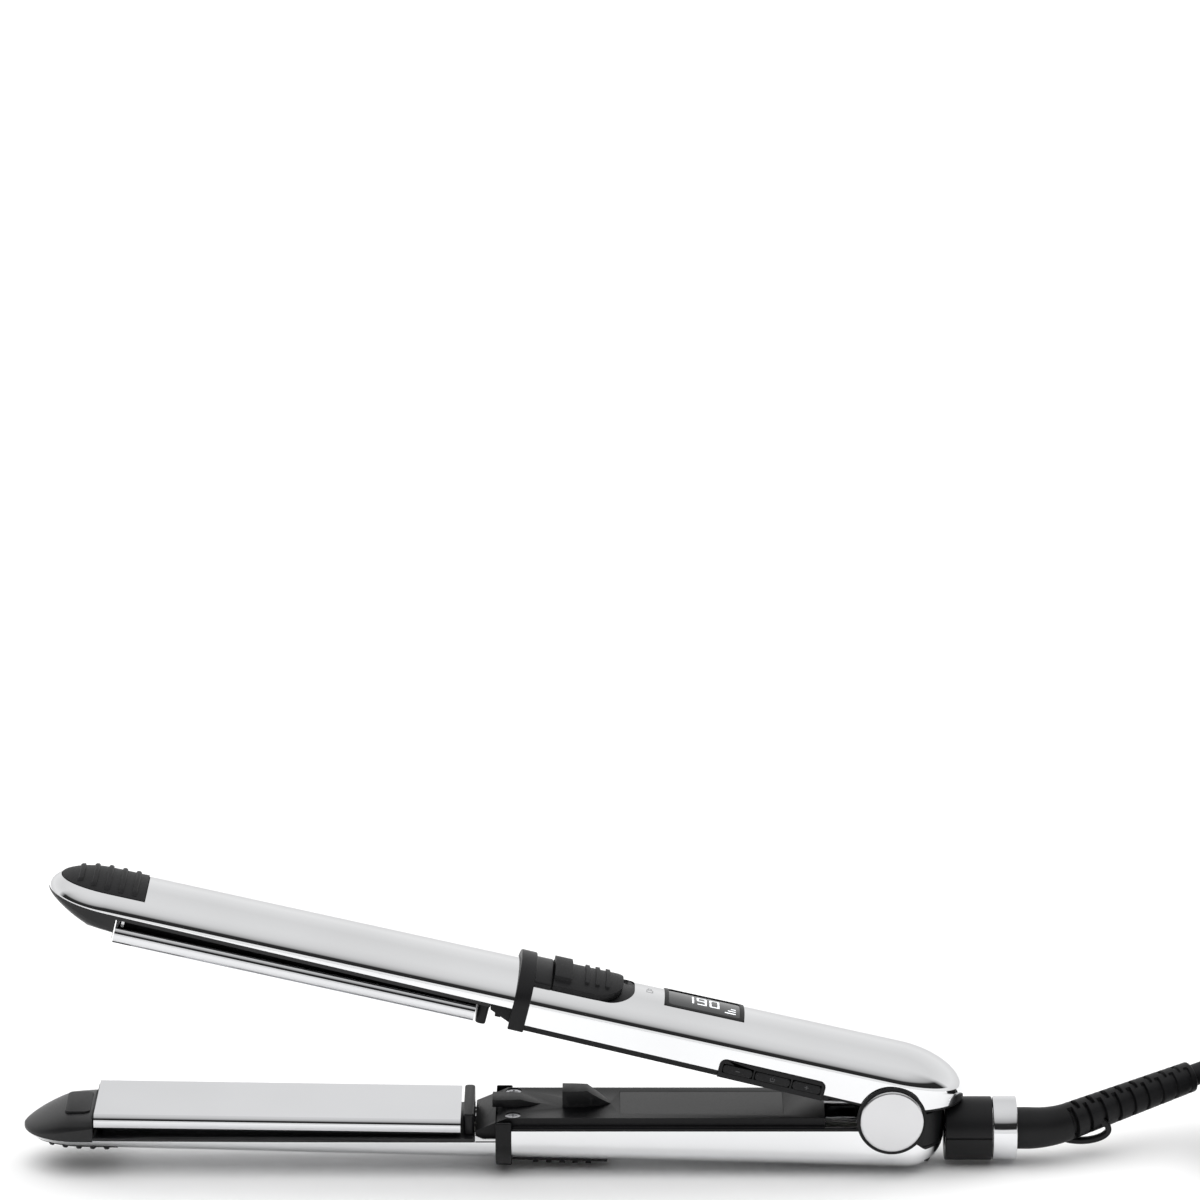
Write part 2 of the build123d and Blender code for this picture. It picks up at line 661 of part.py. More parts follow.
def bolt_stem():
    front, rear = slider_span()
    return -front + 7.0


def lock_bolt():
    """Stem down from the slider, a bar towards the nose, and the hook for the lower arm's fin."""
    stem = bolt_stem()
    half = BOLT_WIDTH / 2
    top = crown_at(UPPER, -stem) - WALL + 3 * SLIDING
    bar_low = COVER_DEPTH + 1.0
    hook = -(COLLAR_FRONT + 3.4)
    post = block((stem - 1.5, stem + 1.5), (-half, half), (bar_low, top))
    bar = block((hook, stem + 1.5), (-half, half), (bar_low, bar_low + BOLT_THICKNESS))
    leg = block((hook, hook + BOLT_THICKNESS), (-half, half), (-HOOK_DEPTH, bar_low))
    toe = block((hook, hook + 2.0), (-half + 0.6, half - 0.6), (-HOOK_DEPTH, -HOOK_DEPTH + 0.8))
    return post + bar + leg + toe


# ---------------------------------------------------------------- display, buttons, board

def display_bezel():
    ring = plan_prism(display_plan(SEAT) - display_plan(BEZEL_WIDTH), HANDLE_SPRING, 2 * UPPER.crown)
    return vault_layer(UPPER, 0.15, -WALL - 0.8, ring)


def display_lens():
    glass = plan_prism(display_plan(BEZEL_WIDTH + SEAT), HANDLE_SPRING, 2 * UPPER.crown)
    return vault_layer(UPPER, -0.15, -1.15, glass)


def display_panel():
    middle = -(DISPLAY_START + DISPLAY_LENGTH / 2)
    top = crown_at(UPPER, -middle) - 3.4
    half = DISPLAY_LENGTH / 2 - BEZEL_WIDTH - 1
    width = DISPLAY_HALF_WIDTH - BEZEL_WIDTH
    return block((middle - half, middle + half), (-width, width), (top - 1.4, top))


def button_spans():
    """Each button's ends along the bar, from the hinge side to the nose side."""
    used = sum(BUTTON_LENGTHS) + (len(BUTTON_LENGTHS) - 1) * BUTTON_GAP
    start = BUTTON_START + (BUTTON_BAR - used) / 2
    spans = []
    for length in BUTTON_LENGTHS:
        spans.append((-start - length, -start))
        start += length + BUTTON_GAP
    return spans


def button_window(span, grow):
    half = BUTTON_HEIGHT / 2 + grow
    heights = (BUTTON_LEVEL - half, BUTTON_LEVEL + half)
    return block((span[0] - grow, span[1] + grow), (-HALF_WIDTH - 2, 0), heights)


def button_bezel():
    depth = (-HALF_WIDTH - 0.15, -COVER_HALF_WIDTH - SLIDING)
    bar = button_bar(SLIDING) & block((-400, 0), depth, (0.9, 30))
    for span in button_spans():
        bar -= button_window(span, SLIDING)
    return bar


def button(span):
    """Button cap with the flange that keeps it behind the bezel."""
    back = -COVER_HALF_WIDTH + 0.7
    low, high = BUTTON_LEVEL - BUTTON_HEIGHT / 2, BUTTON_LEVEL + BUTTON_HEIGHT / 2
    cap = block(span, (-HALF_WIDTH - 0.5, back), (low, high))
    cap = fillet(cap.edges().filter_by(Axis.Y), 0.9)
    flange = block((span[0] - 0.3, span[1] + 0.3), (-COVER_HALF_WIDTH + 0.1, back), (low - 0.4, high + 0.4))
    return cap + flange


def button_switches():
    front = -COVER_HALF_WIDTH + 0.7 + BUTTON_TRAVEL + 0.1
    switches = []
    for span in button_spans():
        middle = (span[0] + span[1]) / 2
        heights = (BUTTON_LEVEL - 1.0, BUTTON_LEVEL + SWITCH_TOP)
        switches.append(block((middle - 2.2, middle + 2.2), (front, front + 1.6), heights))
    return Compound(children=switches)


def circuit_board():
    low = BUTTON_LEVEL + SWITCH_TOP + SEAT
    reach = (-(DISPLAY_START + DISPLAY_LENGTH + 4), -BUTTON_START - 1)
    half = HALF_WIDTH - WALL - 3.2
    board = block(reach, (-half, half), (low, low + BOARD_THICKNESS))
    top = low + BOARD_THICKNESS
    chip = block((reach[0] + 30, reach[0] + 38), (-4, 4), (top, top + 1.0))
    return board + chip


# ---------------------------------------------------------------- hinge

def hinge_knuckle():
    """Upper half of the hinge: a barrel between the fork's cheeks, with its web up into the shell."""
    web = block((-KNUCKLE_RADIUS, KNUCKLE_RADIUS), (-KNUCKLE_HALF, KNUCKLE_HALF), (0, 40))
    web = web & envelope(UPPER, -WALL - SEAT)
    body = rod(KNUCKLE_RADIUS, -KNUCKLE_HALF, KNUCKLE_HALF) + web
    body -= rod(PIN_RADIUS + BUSH_WALL + 0.02, -30, 30)
    cavity = COIL_RADIUS + COIL_WIRE + CLEAR
    return body - rod(cavity, -0.5 * KNUCKLE_HALF, 0.5 * KNUCKLE_HALF)


def hinge_bushes():
    bushes = []
    for side in (-1, 1):
        low, high = sorted((side * (0.5 * KNUCKLE_HALF + 0.1), side * KNUCKLE_HALF))
        bushes.append(rod(PIN_RADIUS + BUSH_WALL, low, high) - rod(PIN_RADIUS + RUNNING, low - 1, high + 1))
    return Compound(children=bushes)


def opening_spring():
    width = KNUCKLE_HALF - 2 * COIL_WIRE - 2 * CLEAR
    coil = spring(COIL_RADIUS, COIL_WIRE, width, 5)
    return Pos(0, width / 2, 0) * Rot(X=90) * coil


def hinge_pin():
    return rod(PIN_RADIUS, -HALF_WIDTH - 0.2, HALF_WIDTH + 0.2)


def hinge_housing():
    """Lower half of the hinge: two cheeks on a base, and the black neck to the cord swivel."""
    inside = envelope(LOWER, -WALL - TRIM_WIDTH - SEAT)
    outer = FORK_INNER + FORK_THICKNESS
    base_level = KNUCKLE_RADIUS + 1.0
    rear = LOWER.rear_station + LOWER.rear_round - WALL - TRIM_WIDTH - CLEAR
    body = block((-FORK_RADIUS, rear), (-outer, outer), (base_level, 40)) & inside
    for side in (-1, 1):
        cheek = sorted((side * FORK_INNER, side * outer))
        body += rod(FORK_RADIUS, *cheek)
        body += block((-FORK_RADIUS, FORK_RADIUS), cheek, (0, base_level + 1))
    body += neck_block()
    body -= rod(PIN_RADIUS + 0.01, -40, 40)
    return body - Pos(0, 0, SWIVEL_DROP) * shaft(4.0, 0, HOUSING_START + 5)


def neck_block():
    """Black wall between the two shells behind the pivot, up to the swivel's housing."""
    reach = HOUSING_START - 0.1 - LOWER.rear_station
    plan = Pos(LOWER.rear_station, 0) * Ellipse(reach, HALF_WIDTH - 0.5)
    neck = plan_prism(plan, -1.0, LOWER_REAR_EDGE - TRIM_HEIGHT - 2 * SEAT)
    neck = neck & block((KNUCKLE_RADIUS + 0.6, 60), (-40, 40), (-5, 40))
    return neck - rod(FORK_RADIUS + 0.4, -40, 40)


def pivot_cap(side):
    low, high = sorted((side * (HALF_WIDTH + 0.3), side * (HALF_WIDTH + 0.3 + DISC_THICKNESS)))
    disc = rod(DISC_RADIUS, low, high)
    outer_face = disc.faces().sort_by(Axis.Y)[0 if side < 0 else -1]
    return chamfer(outer_face.edges(), 0.5)


def pivot_caps():
    return Compound(children=[pivot_cap(side) for side in (-1, 1)])


def cap_rings():
    rings = []
    for side in (-1, 1):
        low, high = sorted((side * (HALF_WIDTH + 0.3), side * (HALF_WIDTH + 1.0)))
        ring = rod(DISC_RADIUS + DISC_RING, low, high) - rod(DISC_RADIUS + SEAT, low - 1, high + 1)
        rings.append(ring)
    return Compound(children=rings)


# ---------------------------------------------------------------- cord swivel, in the pivot's frame

def swivel_housing(upper):
    body = shaft(SWIVEL_RADIUS, HOUSING_START, HOUSING_END)
    body -= shaft(CORE_RADIUS + RUNNING, HOUSING_START - 1, HOUSING_END + 1)
    body -= shaft(CORE_FLANGE + RUNNING, HOUSING_START + 4 - 0.1, HOUSING_START + 6 + 0.1)
    half = block((0, 99), (-40, 40), (0.05, 40) if upper else (-40, -0.05))
    return Pos(0, 0, -SWIVEL_DROP) * (body & half)


def swivel_ring():
    ring = shaft(RING_RADIUS, HOUSING_END + 0.2, RING_END)
    ring -= shaft(BOOT_RADIUS + SLIDING, HOUSING_END - 1, RING_END + 1)
    return Pos(0, 0, -SWIVEL_DROP) * ring


def swivel_core():
    core = shaft(CORE_RADIUS, HOUSING_START + 1, HOUSING_END - 0.3)
    core += shaft(CORE_FLANGE, HOUSING_START + 4, HOUSING_START + 6)
    core -= shaft(CORD_RADIUS + SLIDING, 0, HOUSING_END + 1)
    return Pos(0, 0, -SWIVEL_DROP) * core


def boot_elbow():
    return Vector(RING_END + BOOT_STRAIGHT, 0, -SWIVEL_DROP)


def boot_tip():
    return boot_elbow() + Vector(*BOOT_DIRECTION).normalized() * BOOT_ARM


def boot_plane():
    return Plane(origin=boot_elbow(), z_dir=Vector(*BOOT_DIRECTION))


def bent_rod(radius, start, length):
    """Rod along the swivel's axis that turns at the elbow into the boot's direction."""
    straight = Pos(0, 0, -SWIVEL_DROP) * shaft(radius, start, RING_END + BOOT_STRAIGHT)
    corner = Pos(*boot_elbow()) * Sphere(radius)
    return straight + corner + boot_plane() * (Pos(0, 0, length / 2) * Cylinder(radius, length))


def hanging_loop():
    """Flat strap ring under the elbow, for hanging the styler up."""
    outer = extrude(Plane.XZ * Ellipse(LOOP_LENGTH / 2, LOOP_HEIGHT / 2), amount=1.5, both=True)
    opening = Ellipse(LOOP_LENGTH / 2 - LOOP_STRAP, LOOP_HEIGHT / 2 - LOOP_STRAP)
    hole = extrude(Plane.XZ * opening, amount=3, both=True)
    return outer - hole


def boot():
    body = Pos(0, 0, -SWIVEL_DROP) * shaft(BOOT_RADIUS, HOUSING_END, RING_END + BOOT_STRAIGHT)
    body += Pos(*boot_elbow()) * Sphere(BOOT_RADIUS)
    arm = Pos(0, 0, BOOT_ARM / 2) * Cone(BOOT_ARM_RADIUS, BOOT_TIP_RADIUS, BOOT_ARM)
    core = CORD_RADIUS + 0.7
    for count in range(BOOT_SLOTS):
        middle = BOOT_ARM - 2.6 - count * BOOT_SLOT_PITCH
        arm -= Pos(0, 0, middle) * (Cylinder(9, BOOT_SLOT_WIDTH) - Cylinder(core, BOOT_SLOT_WIDTH))
    body += boot_plane() * arm
    body += Pos(*(boot_elbow() + Vector(9.0, 2.5, -1.2))) * hanging_loop()
    return body - bent_rod(CORD_RADIUS + SLIDING, HOUSING_END - 1, BOOT_ARM + 2)


def cord_stub():
    """The cord inside the boot; it ends square to the swivel's axis, just past the boot's tip."""
    stub = bent_rod(CORD_RADIUS, HOUSING_END + 0.3, BOOT_ARM + 12)
    return stub & block((0, boot_tip().X + 3.0), (-90, 90), (-90, 90))


# ---------------------------------------------------------------- mains cord, in the object's frame

def place_pivot(shape):
    return Pos(PIVOT_X, 0, PIVOT_Z) * shape


def corner_radii(points):
    """The largest arc that each corner's two runs allow."""
    radii = []
    for before, corner, after in zip(points, points[1:], points[2:]):
        first, second = Vector(*corner) - Vector(*before), Vector(*after) - Vector(*corner)
        turn = math.radians(first.get_angle(second))
        radii.append(0.45 * min(first.length, second.length) / math.tan(turn / 2))
    return radii


def cord_tube(name, points):
    radii = corner_radii(points)
    path = FilletPolyline(*points, radius=radii)
    tube = sweep(Plane(origin=path @ 0, z_dir=path % 0) * Circle(CORD_RADIUS), path=path)
    share = tube.volume / (math.pi * CORD_RADIUS ** 2 * path.length)
    bends = [round(radius) for radius in radii]
    print(name, "length", round(path.length, 1), "radii", bends, "volume share", round(share, 3))
    return tube


def coil_size():
    """Inner and outer radius of the hank's folds, and its height."""
    half_width = COIL_COLUMNS * CORD_RADIUS
    return COIL_MIDDLE - half_width, COIL_MIDDLE + half_width, COIL_LAYERS * 2 * CORD_RADIUS


def cord_coil():
    inner, outer, height = coil_size()
    plan = SlotCenterToCenter(2 * COIL_HALF_RUN, 2 * outer) - SlotCenterToCenter(2 * COIL_HALF_RUN, 2 * inner)
    ring = extrude(plan, amount=height)
    ring = fillet(ring.edges().filter_by(GeomType.CIRCLE) + ring.edges().filter_by(Axis.X), 2.4)
    return Pos(*COIL_CENTRE, CORD_FLOOR + TIE_THICKNESS) * ring


def cord_tie():
    """Strap round the middle of the hank, over both of its runs."""
    inner, outer, height = coil_size()
    half = TIE_WIDTH / 2
    top = CORD_FLOOR + height + 2 * TIE_THICKNESS
    reach = outer + TIE_THICKNESS
    strap = block((-half, half), (-reach, reach), (CORD_FLOOR, top))
    strap = fillet(strap.edges().filter_by(Axis.X), 2.8)
    inside = block((-TIE_WIDTH, TIE_WIDTH), (-outer - 0.02, outer + 0.02),
                   (CORD_FLOOR + TIE_THICKNESS - 0.02, top - TIE_THICKNESS + 0.02))
    inside = fillet(inside.edges().filter_by(Axis.X), 2.0)
    return Pos(*COIL_CENTRE, 0) * (strap - inside)


def plug_frame():
    """The cord's end in the plug, which is drawn with its pins along -Y and turned to point them along +X."""
    x, y, z = TAIL_ROUTE[-1]
    return Pos(x, y, z) * Rot(Z=90)


def plug_body():
    half = PLUG_WIDTH / 2
    neck = 6.5
    outline = [(-neck, 0), (neck, 0), (neck, -4), (half, -PLUG_LENGTH + 9), (half, -PLUG_LENGTH),
               (-half, -PLUG_LENGTH), (-half, -PLUG_LENGTH + 9), (-neck, -4)]
    slab = extrude(make_face(Polyline(*outline, close=True)), amount=PLUG_HEIGHT / 2, both=True)
    slab = fillet(slab.edges().filter_by(Axis.Z), 1.5)
    slab = fillet(slab.faces().sort_by(Axis.Z)[-1].edges() + slab.faces().sort_by(Axis.Z)[0].edges(), 1.2)
    for side in (-1, 1):
        bore = rod(PLUG_SHANK_RADIUS + 0.01, -PLUG_LENGTH - 1, -PLUG_LENGTH + 10)
        slab -= Pos(side * PLUG_PIN_SPREAD / 2, 0, 0) * bore
    return plug_frame() * slab


def plug_pins():
    pins = []
    for side in (-1, 1):
        pin = rod(PLUG_PIN_RADIUS, -PLUG_LENGTH - PLUG_PIN_LENGTH, -PLUG_LENGTH - PLUG_PIN_NECK)
        pin += rod(PLUG_SHANK_RADIUS, -PLUG_LENGTH - PLUG_PIN_NECK, -PLUG_LENGTH + 9)
        pins.append(Pos(side * PLUG_PIN_SPREAD / 2, 0, 0) * pin)
    return plug_frame() * Compound(children=pins)


def lead_wires():
    """Two leads along the lower handle, from the swivel to the heater."""
    level = COVER_DEPTH + 1.4
    front = -(PLATE_HEEL + 14)
    wires = []
    for side in (-1, 1):
        wires.append(Pos(0, side * 2.2, level) * shaft(0.8, front, -FORK_RADIUS - 1))
    return Compound(children=wires)


def thermal_fuse():
    middle = -(PLATE_HEEL + 22)
    return Pos(middle, 0, BARREL_EDGE + 1.8) * shaft(1.5, -5, 5)


# ---------------------------------------------------------------- nodes

def arm_nodes(name, arm, place):
    """The pieces that both arms have."""
    shapes = {"shell": shell(arm), "frame": frame(arm), "nose_inlay": nose_inlay(), "finger_pad": finger_pad(arm),
              "end_block": end_block(arm), "plate": plate(), "heater": heater(), "plate_springs": plate_springs(),
              "cover_screws": screws()}
    return {f"{name}_{piece}": place(shape) for piece, shape in shapes.items()}


def all_nodes():
    nodes = arm_nodes("upper", UPPER, place_upper) | arm_nodes("lower", LOWER, place_lower)
    upper = {"upper_collar": upper_collar(), "upper_inner_cover": upper_cover(), "slot_liner": slot_liner(),
             "lock_slider": lock_slider(), "lock_bolt": lock_bolt(), "display_bezel": display_bezel(),
             "display_lens": display_lens(), "display_panel": display_panel(), "button_bezel": button_bezel(),
             "button_switches": button_switches(), "circuit_board": circuit_board(),
             "hinge_knuckle": hinge_knuckle(), "hinge_bushes": hinge_bushes()}
    for label, span in zip(("button_plus", "button_power", "button_minus"), button_spans()):
        upper[label] = button(span)
    lower = {"lower_collar": collar_ring(LOWER, flat=PIVOT_Z), "lower_rear_grip": rear_grip(),
             "lower_inner_cover": lower_cover(), "rating_label": rating_label(), "hinge_housing": hinge_housing(),
             "lead_wires": lead_wires(), "thermal_fuse": thermal_fuse()}
    pivot = {"hinge_pin": hinge_pin(), "opening_spring": opening_spring(), "pivot_caps": pivot_caps(),
             "cap_rings": cap_rings(), "swivel_housing_upper": swivel_housing(True),
             "swivel_housing_lower": swivel_housing(False), "swivel_ring": swivel_ring(),
             "swivel_core": swivel_core(), "boot": boot(), "cord_stub": cord_stub()}
    nodes |= {label: place_upper(shape) for label, shape in upper.items()}
    nodes |= {label: place_lower(shape) for label, shape in lower.items()}
    nodes |= {label: place_pivot(shape) for label, shape in pivot.items()}
    return nodes | cord_nodes()


def cord_nodes():
    tip = boot_tip() + Vector(PIVOT_X, 0, PIVOT_Z)
    coil = cord_coil()
    beyond_stub = block((tip.X + 3.2, 900), (-300, 300), (-100, 200))
    tube = cord_tube("mains_cord", [tuple(tip), *CORD_ROUTE]) & beyond_stub
    tail = cord_tube("plug_cord", TAIL_ROUTE)
    plug = plug_body()
    return {"cord_coil": coil, "cord_tie": cord_tie(), "mains_cord": tube - coil, "plug_cord": tail - coil - plug,
            "plug_body": plug, "plug_pins": plug_pins()}


def main():
    for label, shape in all_nodes().items():
        shape.label = label
        export_step(shape, f"parts/{label}.step")


main()
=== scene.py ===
# %% [markdown]
# # A two-armed hair styler, from its frame to its finishes
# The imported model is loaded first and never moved. It gives the place of every part, and the pieces made
# below are laid over it in the same coordinates, in metres.

# %% Load the frame
import json
import math

import bmesh
import bpy
from mathutils import Matrix, Vector
from mathutils.bvhtree import BVHTree

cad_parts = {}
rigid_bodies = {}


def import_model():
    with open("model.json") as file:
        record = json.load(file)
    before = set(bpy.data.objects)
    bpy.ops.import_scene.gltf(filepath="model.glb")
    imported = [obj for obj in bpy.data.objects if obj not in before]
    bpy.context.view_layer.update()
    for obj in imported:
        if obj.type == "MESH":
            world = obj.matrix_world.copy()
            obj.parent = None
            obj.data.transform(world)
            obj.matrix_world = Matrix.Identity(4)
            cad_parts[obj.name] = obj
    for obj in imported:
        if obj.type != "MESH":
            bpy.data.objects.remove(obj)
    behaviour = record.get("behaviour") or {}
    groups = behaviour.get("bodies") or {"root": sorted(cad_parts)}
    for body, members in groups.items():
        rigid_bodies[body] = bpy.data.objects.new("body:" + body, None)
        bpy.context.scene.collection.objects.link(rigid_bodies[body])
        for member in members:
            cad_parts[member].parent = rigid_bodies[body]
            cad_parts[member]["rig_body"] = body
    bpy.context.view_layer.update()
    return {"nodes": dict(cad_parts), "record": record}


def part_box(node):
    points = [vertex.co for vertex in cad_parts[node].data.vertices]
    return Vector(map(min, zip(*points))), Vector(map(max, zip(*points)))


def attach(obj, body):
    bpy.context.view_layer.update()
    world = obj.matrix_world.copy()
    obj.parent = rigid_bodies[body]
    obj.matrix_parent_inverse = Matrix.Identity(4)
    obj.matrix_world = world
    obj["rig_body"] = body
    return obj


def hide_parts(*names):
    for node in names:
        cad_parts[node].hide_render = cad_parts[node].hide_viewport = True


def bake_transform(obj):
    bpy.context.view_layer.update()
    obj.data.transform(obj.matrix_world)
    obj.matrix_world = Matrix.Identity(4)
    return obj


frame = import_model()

MM = 0.001
nodes = frame["nodes"]

# %% [markdown]
# ## The places that the pieces share
# Both arms turn on one pivot. Each is drawn in its own coordinates, with the pivot at the origin, the nose
# towards -X and the outer face towards +Z, and then set in place. The upper arm is tilted open.

# %% Pivot and arms
pin_low, pin_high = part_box("hinge_pin")
PIVOT = (pin_low + pin_high) / 2
PIVOT.y = 0.0
OPEN_ANGLE = math.radians(13.9)
UPPER = Matrix.Translation(PIVOT) @ Matrix.Rotation(OPEN_ANGLE, 4, "Y")
LOWER = Matrix.Translation(PIVOT) @ Matrix.Diagonal((1, 1, -1, 1))
print("pivot, mm:", [round(v / MM, 2) for v in PIVOT])

# %% [markdown]
# ## Camera
# A long lens from well in front, a little above the styler, keeps the two arms nearly free of perspective.

# %% Camera
camera_data = bpy.data.cameras.new("camera")
camera_data.lens = 192.0
camera_data.sensor_width = 36.0
camera_data.clip_end = 20.0
camera = bpy.data.objects.new("camera", camera_data)
camera.location = (0.0231, -1.7393, 0.6677)
camera.rotation_euler = (math.radians(74.0), 0.0, 0.0)
bpy.context.scene.collection.objects.link(camera)
bpy.context.scene.camera = camera
print("camera height, m:", round(camera.location.z, 3))

# %% [markdown]
# ## Mains lead
# The lead leaves the strain relief nearly level and is folded in a neat hank for storage. Its centreline is
# one smooth NURBS line. The turns of the hank are points of the same line, worked out turn by turn: two
# turns in each of four layers, stepping in, down and out again as a hank is folded by hand.

# %% The lead's route
CORD_RADIUS = 3.2
BOOT_ELBOW = PIVOT / MM + Vector((46.6, 0.0, -8.05))
BOOT_DIRECTION = Vector((0.897, 0.399, 0.191)).normalized()
BOOT_TIP = BOOT_ELBOW + BOOT_DIRECTION * 47.0
HANK_CENTRE = (267.0, 1.4)
HALF_RUN = 34.5
INNER_FOLD = 18.9
TURN_PITCH = 6.45
BOTTOM_TURN = 4.1
POINTS_PER_TURN = 24
TURNS = 7.21

LEAD_OUT = [(207.0, 23.6, 21.6), (220.0, 27.0, 23.6), (233.0, 27.2, 23.8)]
TAIL_OUT = [(295.0, 27.2, 3.8), (305.0, 26.0, 3.5), (315.0, 21.4, 3.7), (324.0, 14.6, 5.8),
            (334.5, 12.9, 7.0)]

# start of each step in turns, then the column (0 outer, 1 inner) and layer it leads to
STEPS = [(0.86, 1, 3), (1.78, 1, 2), (2.70, 0, 2), (3.62, 0, 1), (4.54, 1, 1), (5.46, 1, 0), (6.38, 0, 0)]
STEP_SHARE = 0.08


def column_and_layer(turn):
    """Where a place along the winding lies in the hank; a step takes a small share of a turn."""
    column, layer = 0.0, 3.0
    for start, next_column, next_layer in STEPS:
        share = min(max((turn - start) / STEP_SHARE, 0.0), 1.0)
        share = share * share * (3 - 2 * share)
        column += (next_column - column) * share
        layer += (next_layer - layer) * share
    return column, layer


def hank_place(turn):
    """A turn is two straight runs and two half round folds, a quarter of the turn each."""
    column, layer = column_and_layer(turn)
    fold = INNER_FOLD + TURN_PITCH * (1 - column)
    quarter, share = divmod((turn % 1.0) * 4, 1.0)
    side = 1 if quarter < 2 else -1
    x, y = HANK_CENTRE
    if quarter in (0, 2):
        along, across = 2 * HALF_RUN * share - HALF_RUN, fold
    else:
        along = HALF_RUN + fold / 0.966 * math.sin(math.pi * share)
        across = fold / 0.966 * math.cos(math.pi * share)
    return (x + side * along, y + side * across, BOTTOM_TURN + TURN_PITCH * layer)


def winding():
    return [hank_place(step / POINTS_PER_TURN) for step in range(1, int(TURNS * POINTS_PER_TURN) + 1)]


route = [tuple(BOOT_TIP - BOOT_DIRECTION * 10), *LEAD_OUT, *winding(), *TAIL_OUT]
print("route points:", len(route))

# %% One smooth line, and its points read back
lead_line = bpy.data.curves.new("lead_line", "CURVE")
lead_line.dimensions = "3D"
lead_line.resolution_u = 8
spline = lead_line.splines.new("NURBS")
spline.points.add(len(route) - 1)
for point, place in zip(spline.points, route):
    point.co = (place[0] * MM, place[1] * MM, place[2] * MM, 1.0)
spline.order_u = 3
spline.use_endpoint_u = True
line_object = bpy.data.objects.new("lead_line", lead_line)
bpy.context.scene.collection.objects.link(line_object)
bpy.context.view_layer.update()
line_mesh = bpy.data.meshes.new_from_object(line_object)
lead_path = [vertex.co.copy() for vertex in line_mesh.vertices]
bpy.data.objects.remove(line_object)
lead_length = sum((b - a).length for a, b in zip(lead_path, lead_path[1:]))
print("lead length, m:", round(lead_length, 3))


# %% A tube along the line
def tube_along(name, path, radius, sides=16):
    """A closed tube with a ring of vertices at each path point; the UV map runs once round and along."""
    tube = bmesh.new()
    rings = []
    side = Vector((0, 0, 1))
    travelled = 0.0
    lengths = []
    for index, place in enumerate(path):
        ahead = path[min(index + 1, len(path) - 1)]
        behind = path[max(index - 1, 0)]
        along = (ahead - behind).normalized()
        side = (side - along * side.dot(along)).normalized()
        across = along.cross(side)
        if index:
            travelled += (place - path[index - 1]).length
        lengths.append(travelled)
        ring = []
        for corner in range(sides):
            turn = 2 * math.pi * corner / sides
            ring.append(tube.verts.new(place + radius * (side * math.cos(turn) + across * math.sin(turn))))
        rings.append(ring)
    uv = tube.loops.layers.uv.new("UVMap")
    for index, (ring, following) in enumerate(zip(rings, rings[1:])):
        for corner in range(sides):
            after = (corner + 1) % sides
            face = tube.faces.new((ring[corner], ring[after], following[after], following[corner]))
            face.smooth = True
            places = [(corner, index), (corner + 1, index), (corner + 1, index + 1), (corner, index + 1)]
            for loop, (u, v) in zip(face.loops, places):
                loop[uv].uv = (u / sides, lengths[v] * 100)
    tube.faces.new(rings[0][::-1])
    tube.faces.new(rings[-1])
    bmesh.ops.recalc_face_normals(tube, faces=tube.faces[:])
    mesh = bpy.data.meshes.new(name)
    tube.to_mesh(mesh)
    tube.free()
    piece = bpy.data.objects.new(name, mesh)
    bpy.context.scene.collection.objects.link(piece)
    return piece


mains_lead = tube_along("mains_lead", lead_path, CORD_RADIUS * MM)
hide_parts("mains_cord", "plug_cord", "cord_coil", "cord_stub")
print("lead faces:", len(mains_lead.data.polygons))

# %% [markdown]
# ## Finishes
# Every finish is a small node tree over Object coordinates, which are the frame's own metres. Polished
# chrome gets faint smears and hairline scratches, moulded plastic a fine grain, rubber a soft mottled
# sheen.


# %% Helpers for the node trees
def new_finish(name, **sockets):
    """A material with a Principled shader whose plain values are set on its own sockets."""
    material = bpy.data.materials.new(name)
    material.use_nodes = True
    shader = material.node_tree.nodes["Principled BSDF"]
    for socket, value in sockets.items():
        shader.inputs[socket.replace("_", " ")].default_value = value
    return material, material.node_tree, shader


def object_place(tree, scale=(1, 1, 1)):
    """Object coordinates through a Mapping node."""
    coordinates = tree.nodes.new("ShaderNodeTexCoord")
    mapping = tree.nodes.new("ShaderNodeMapping")
    mapping.inputs["Scale"].default_value = scale
    tree.links.new(coordinates.outputs["Object"], mapping.inputs["Vector"])
    return mapping.outputs["Vector"]


def noise(tree, place, scale, detail=4.0, roughness=0.5):
    texture = tree.nodes.new("ShaderNodeTexNoise")
    texture.inputs["Scale"].default_value = scale
    texture.inputs["Detail"].default_value = detail
    texture.inputs["Roughness"].default_value = roughness
    tree.links.new(place, texture.inputs["Vector"])
    return texture.outputs["Fac"]


def remap(tree, value, low, high, start=0.3, end=0.7):
    """The value's start..end range spread over low..high."""
    ranged = tree.nodes.new("ShaderNodeMapRange")
    ranged.inputs["From Min"].default_value = start
    ranged.inputs["From Max"].default_value = end
    ranged.inputs["To Min"].default_value = low
    ranged.inputs["To Max"].default_value = high
    tree.links.new(value, ranged.inputs["Value"])
    return ranged.outputs["Result"]


def two_tones(tree, value, first, second, start=0.35, end=0.65):
    ramp = tree.nodes.new("ShaderNodeValToRGB")
    ramp.color_ramp.elements[0].position = start
    ramp.color_ramp.elements[0].color = (*first, 1)
    ramp.color_ramp.elements[1].position = end
    ramp.color_ramp.elements[1].color = (*second, 1)
    tree.links.new(value, ramp.inputs["Fac"])
    return ramp.outputs["Color"]


def bump(tree, shader, value, distance, strength=1.0):
    node = tree.nodes.new("ShaderNodeBump")
    node.inputs["Distance"].default_value = distance
    node.inputs["Strength"].default_value = strength
    tree.links.new(value, node.inputs["Height"])
    tree.links.new(node.outputs["Normal"], shader.inputs["Normal"])


# %% [markdown]
# Chrome is nearly a mirror. What tells the eye that it is metal and not a white shell is the change of
# roughness from wiping, and a few scratches along the arm that only show where the light grazes.

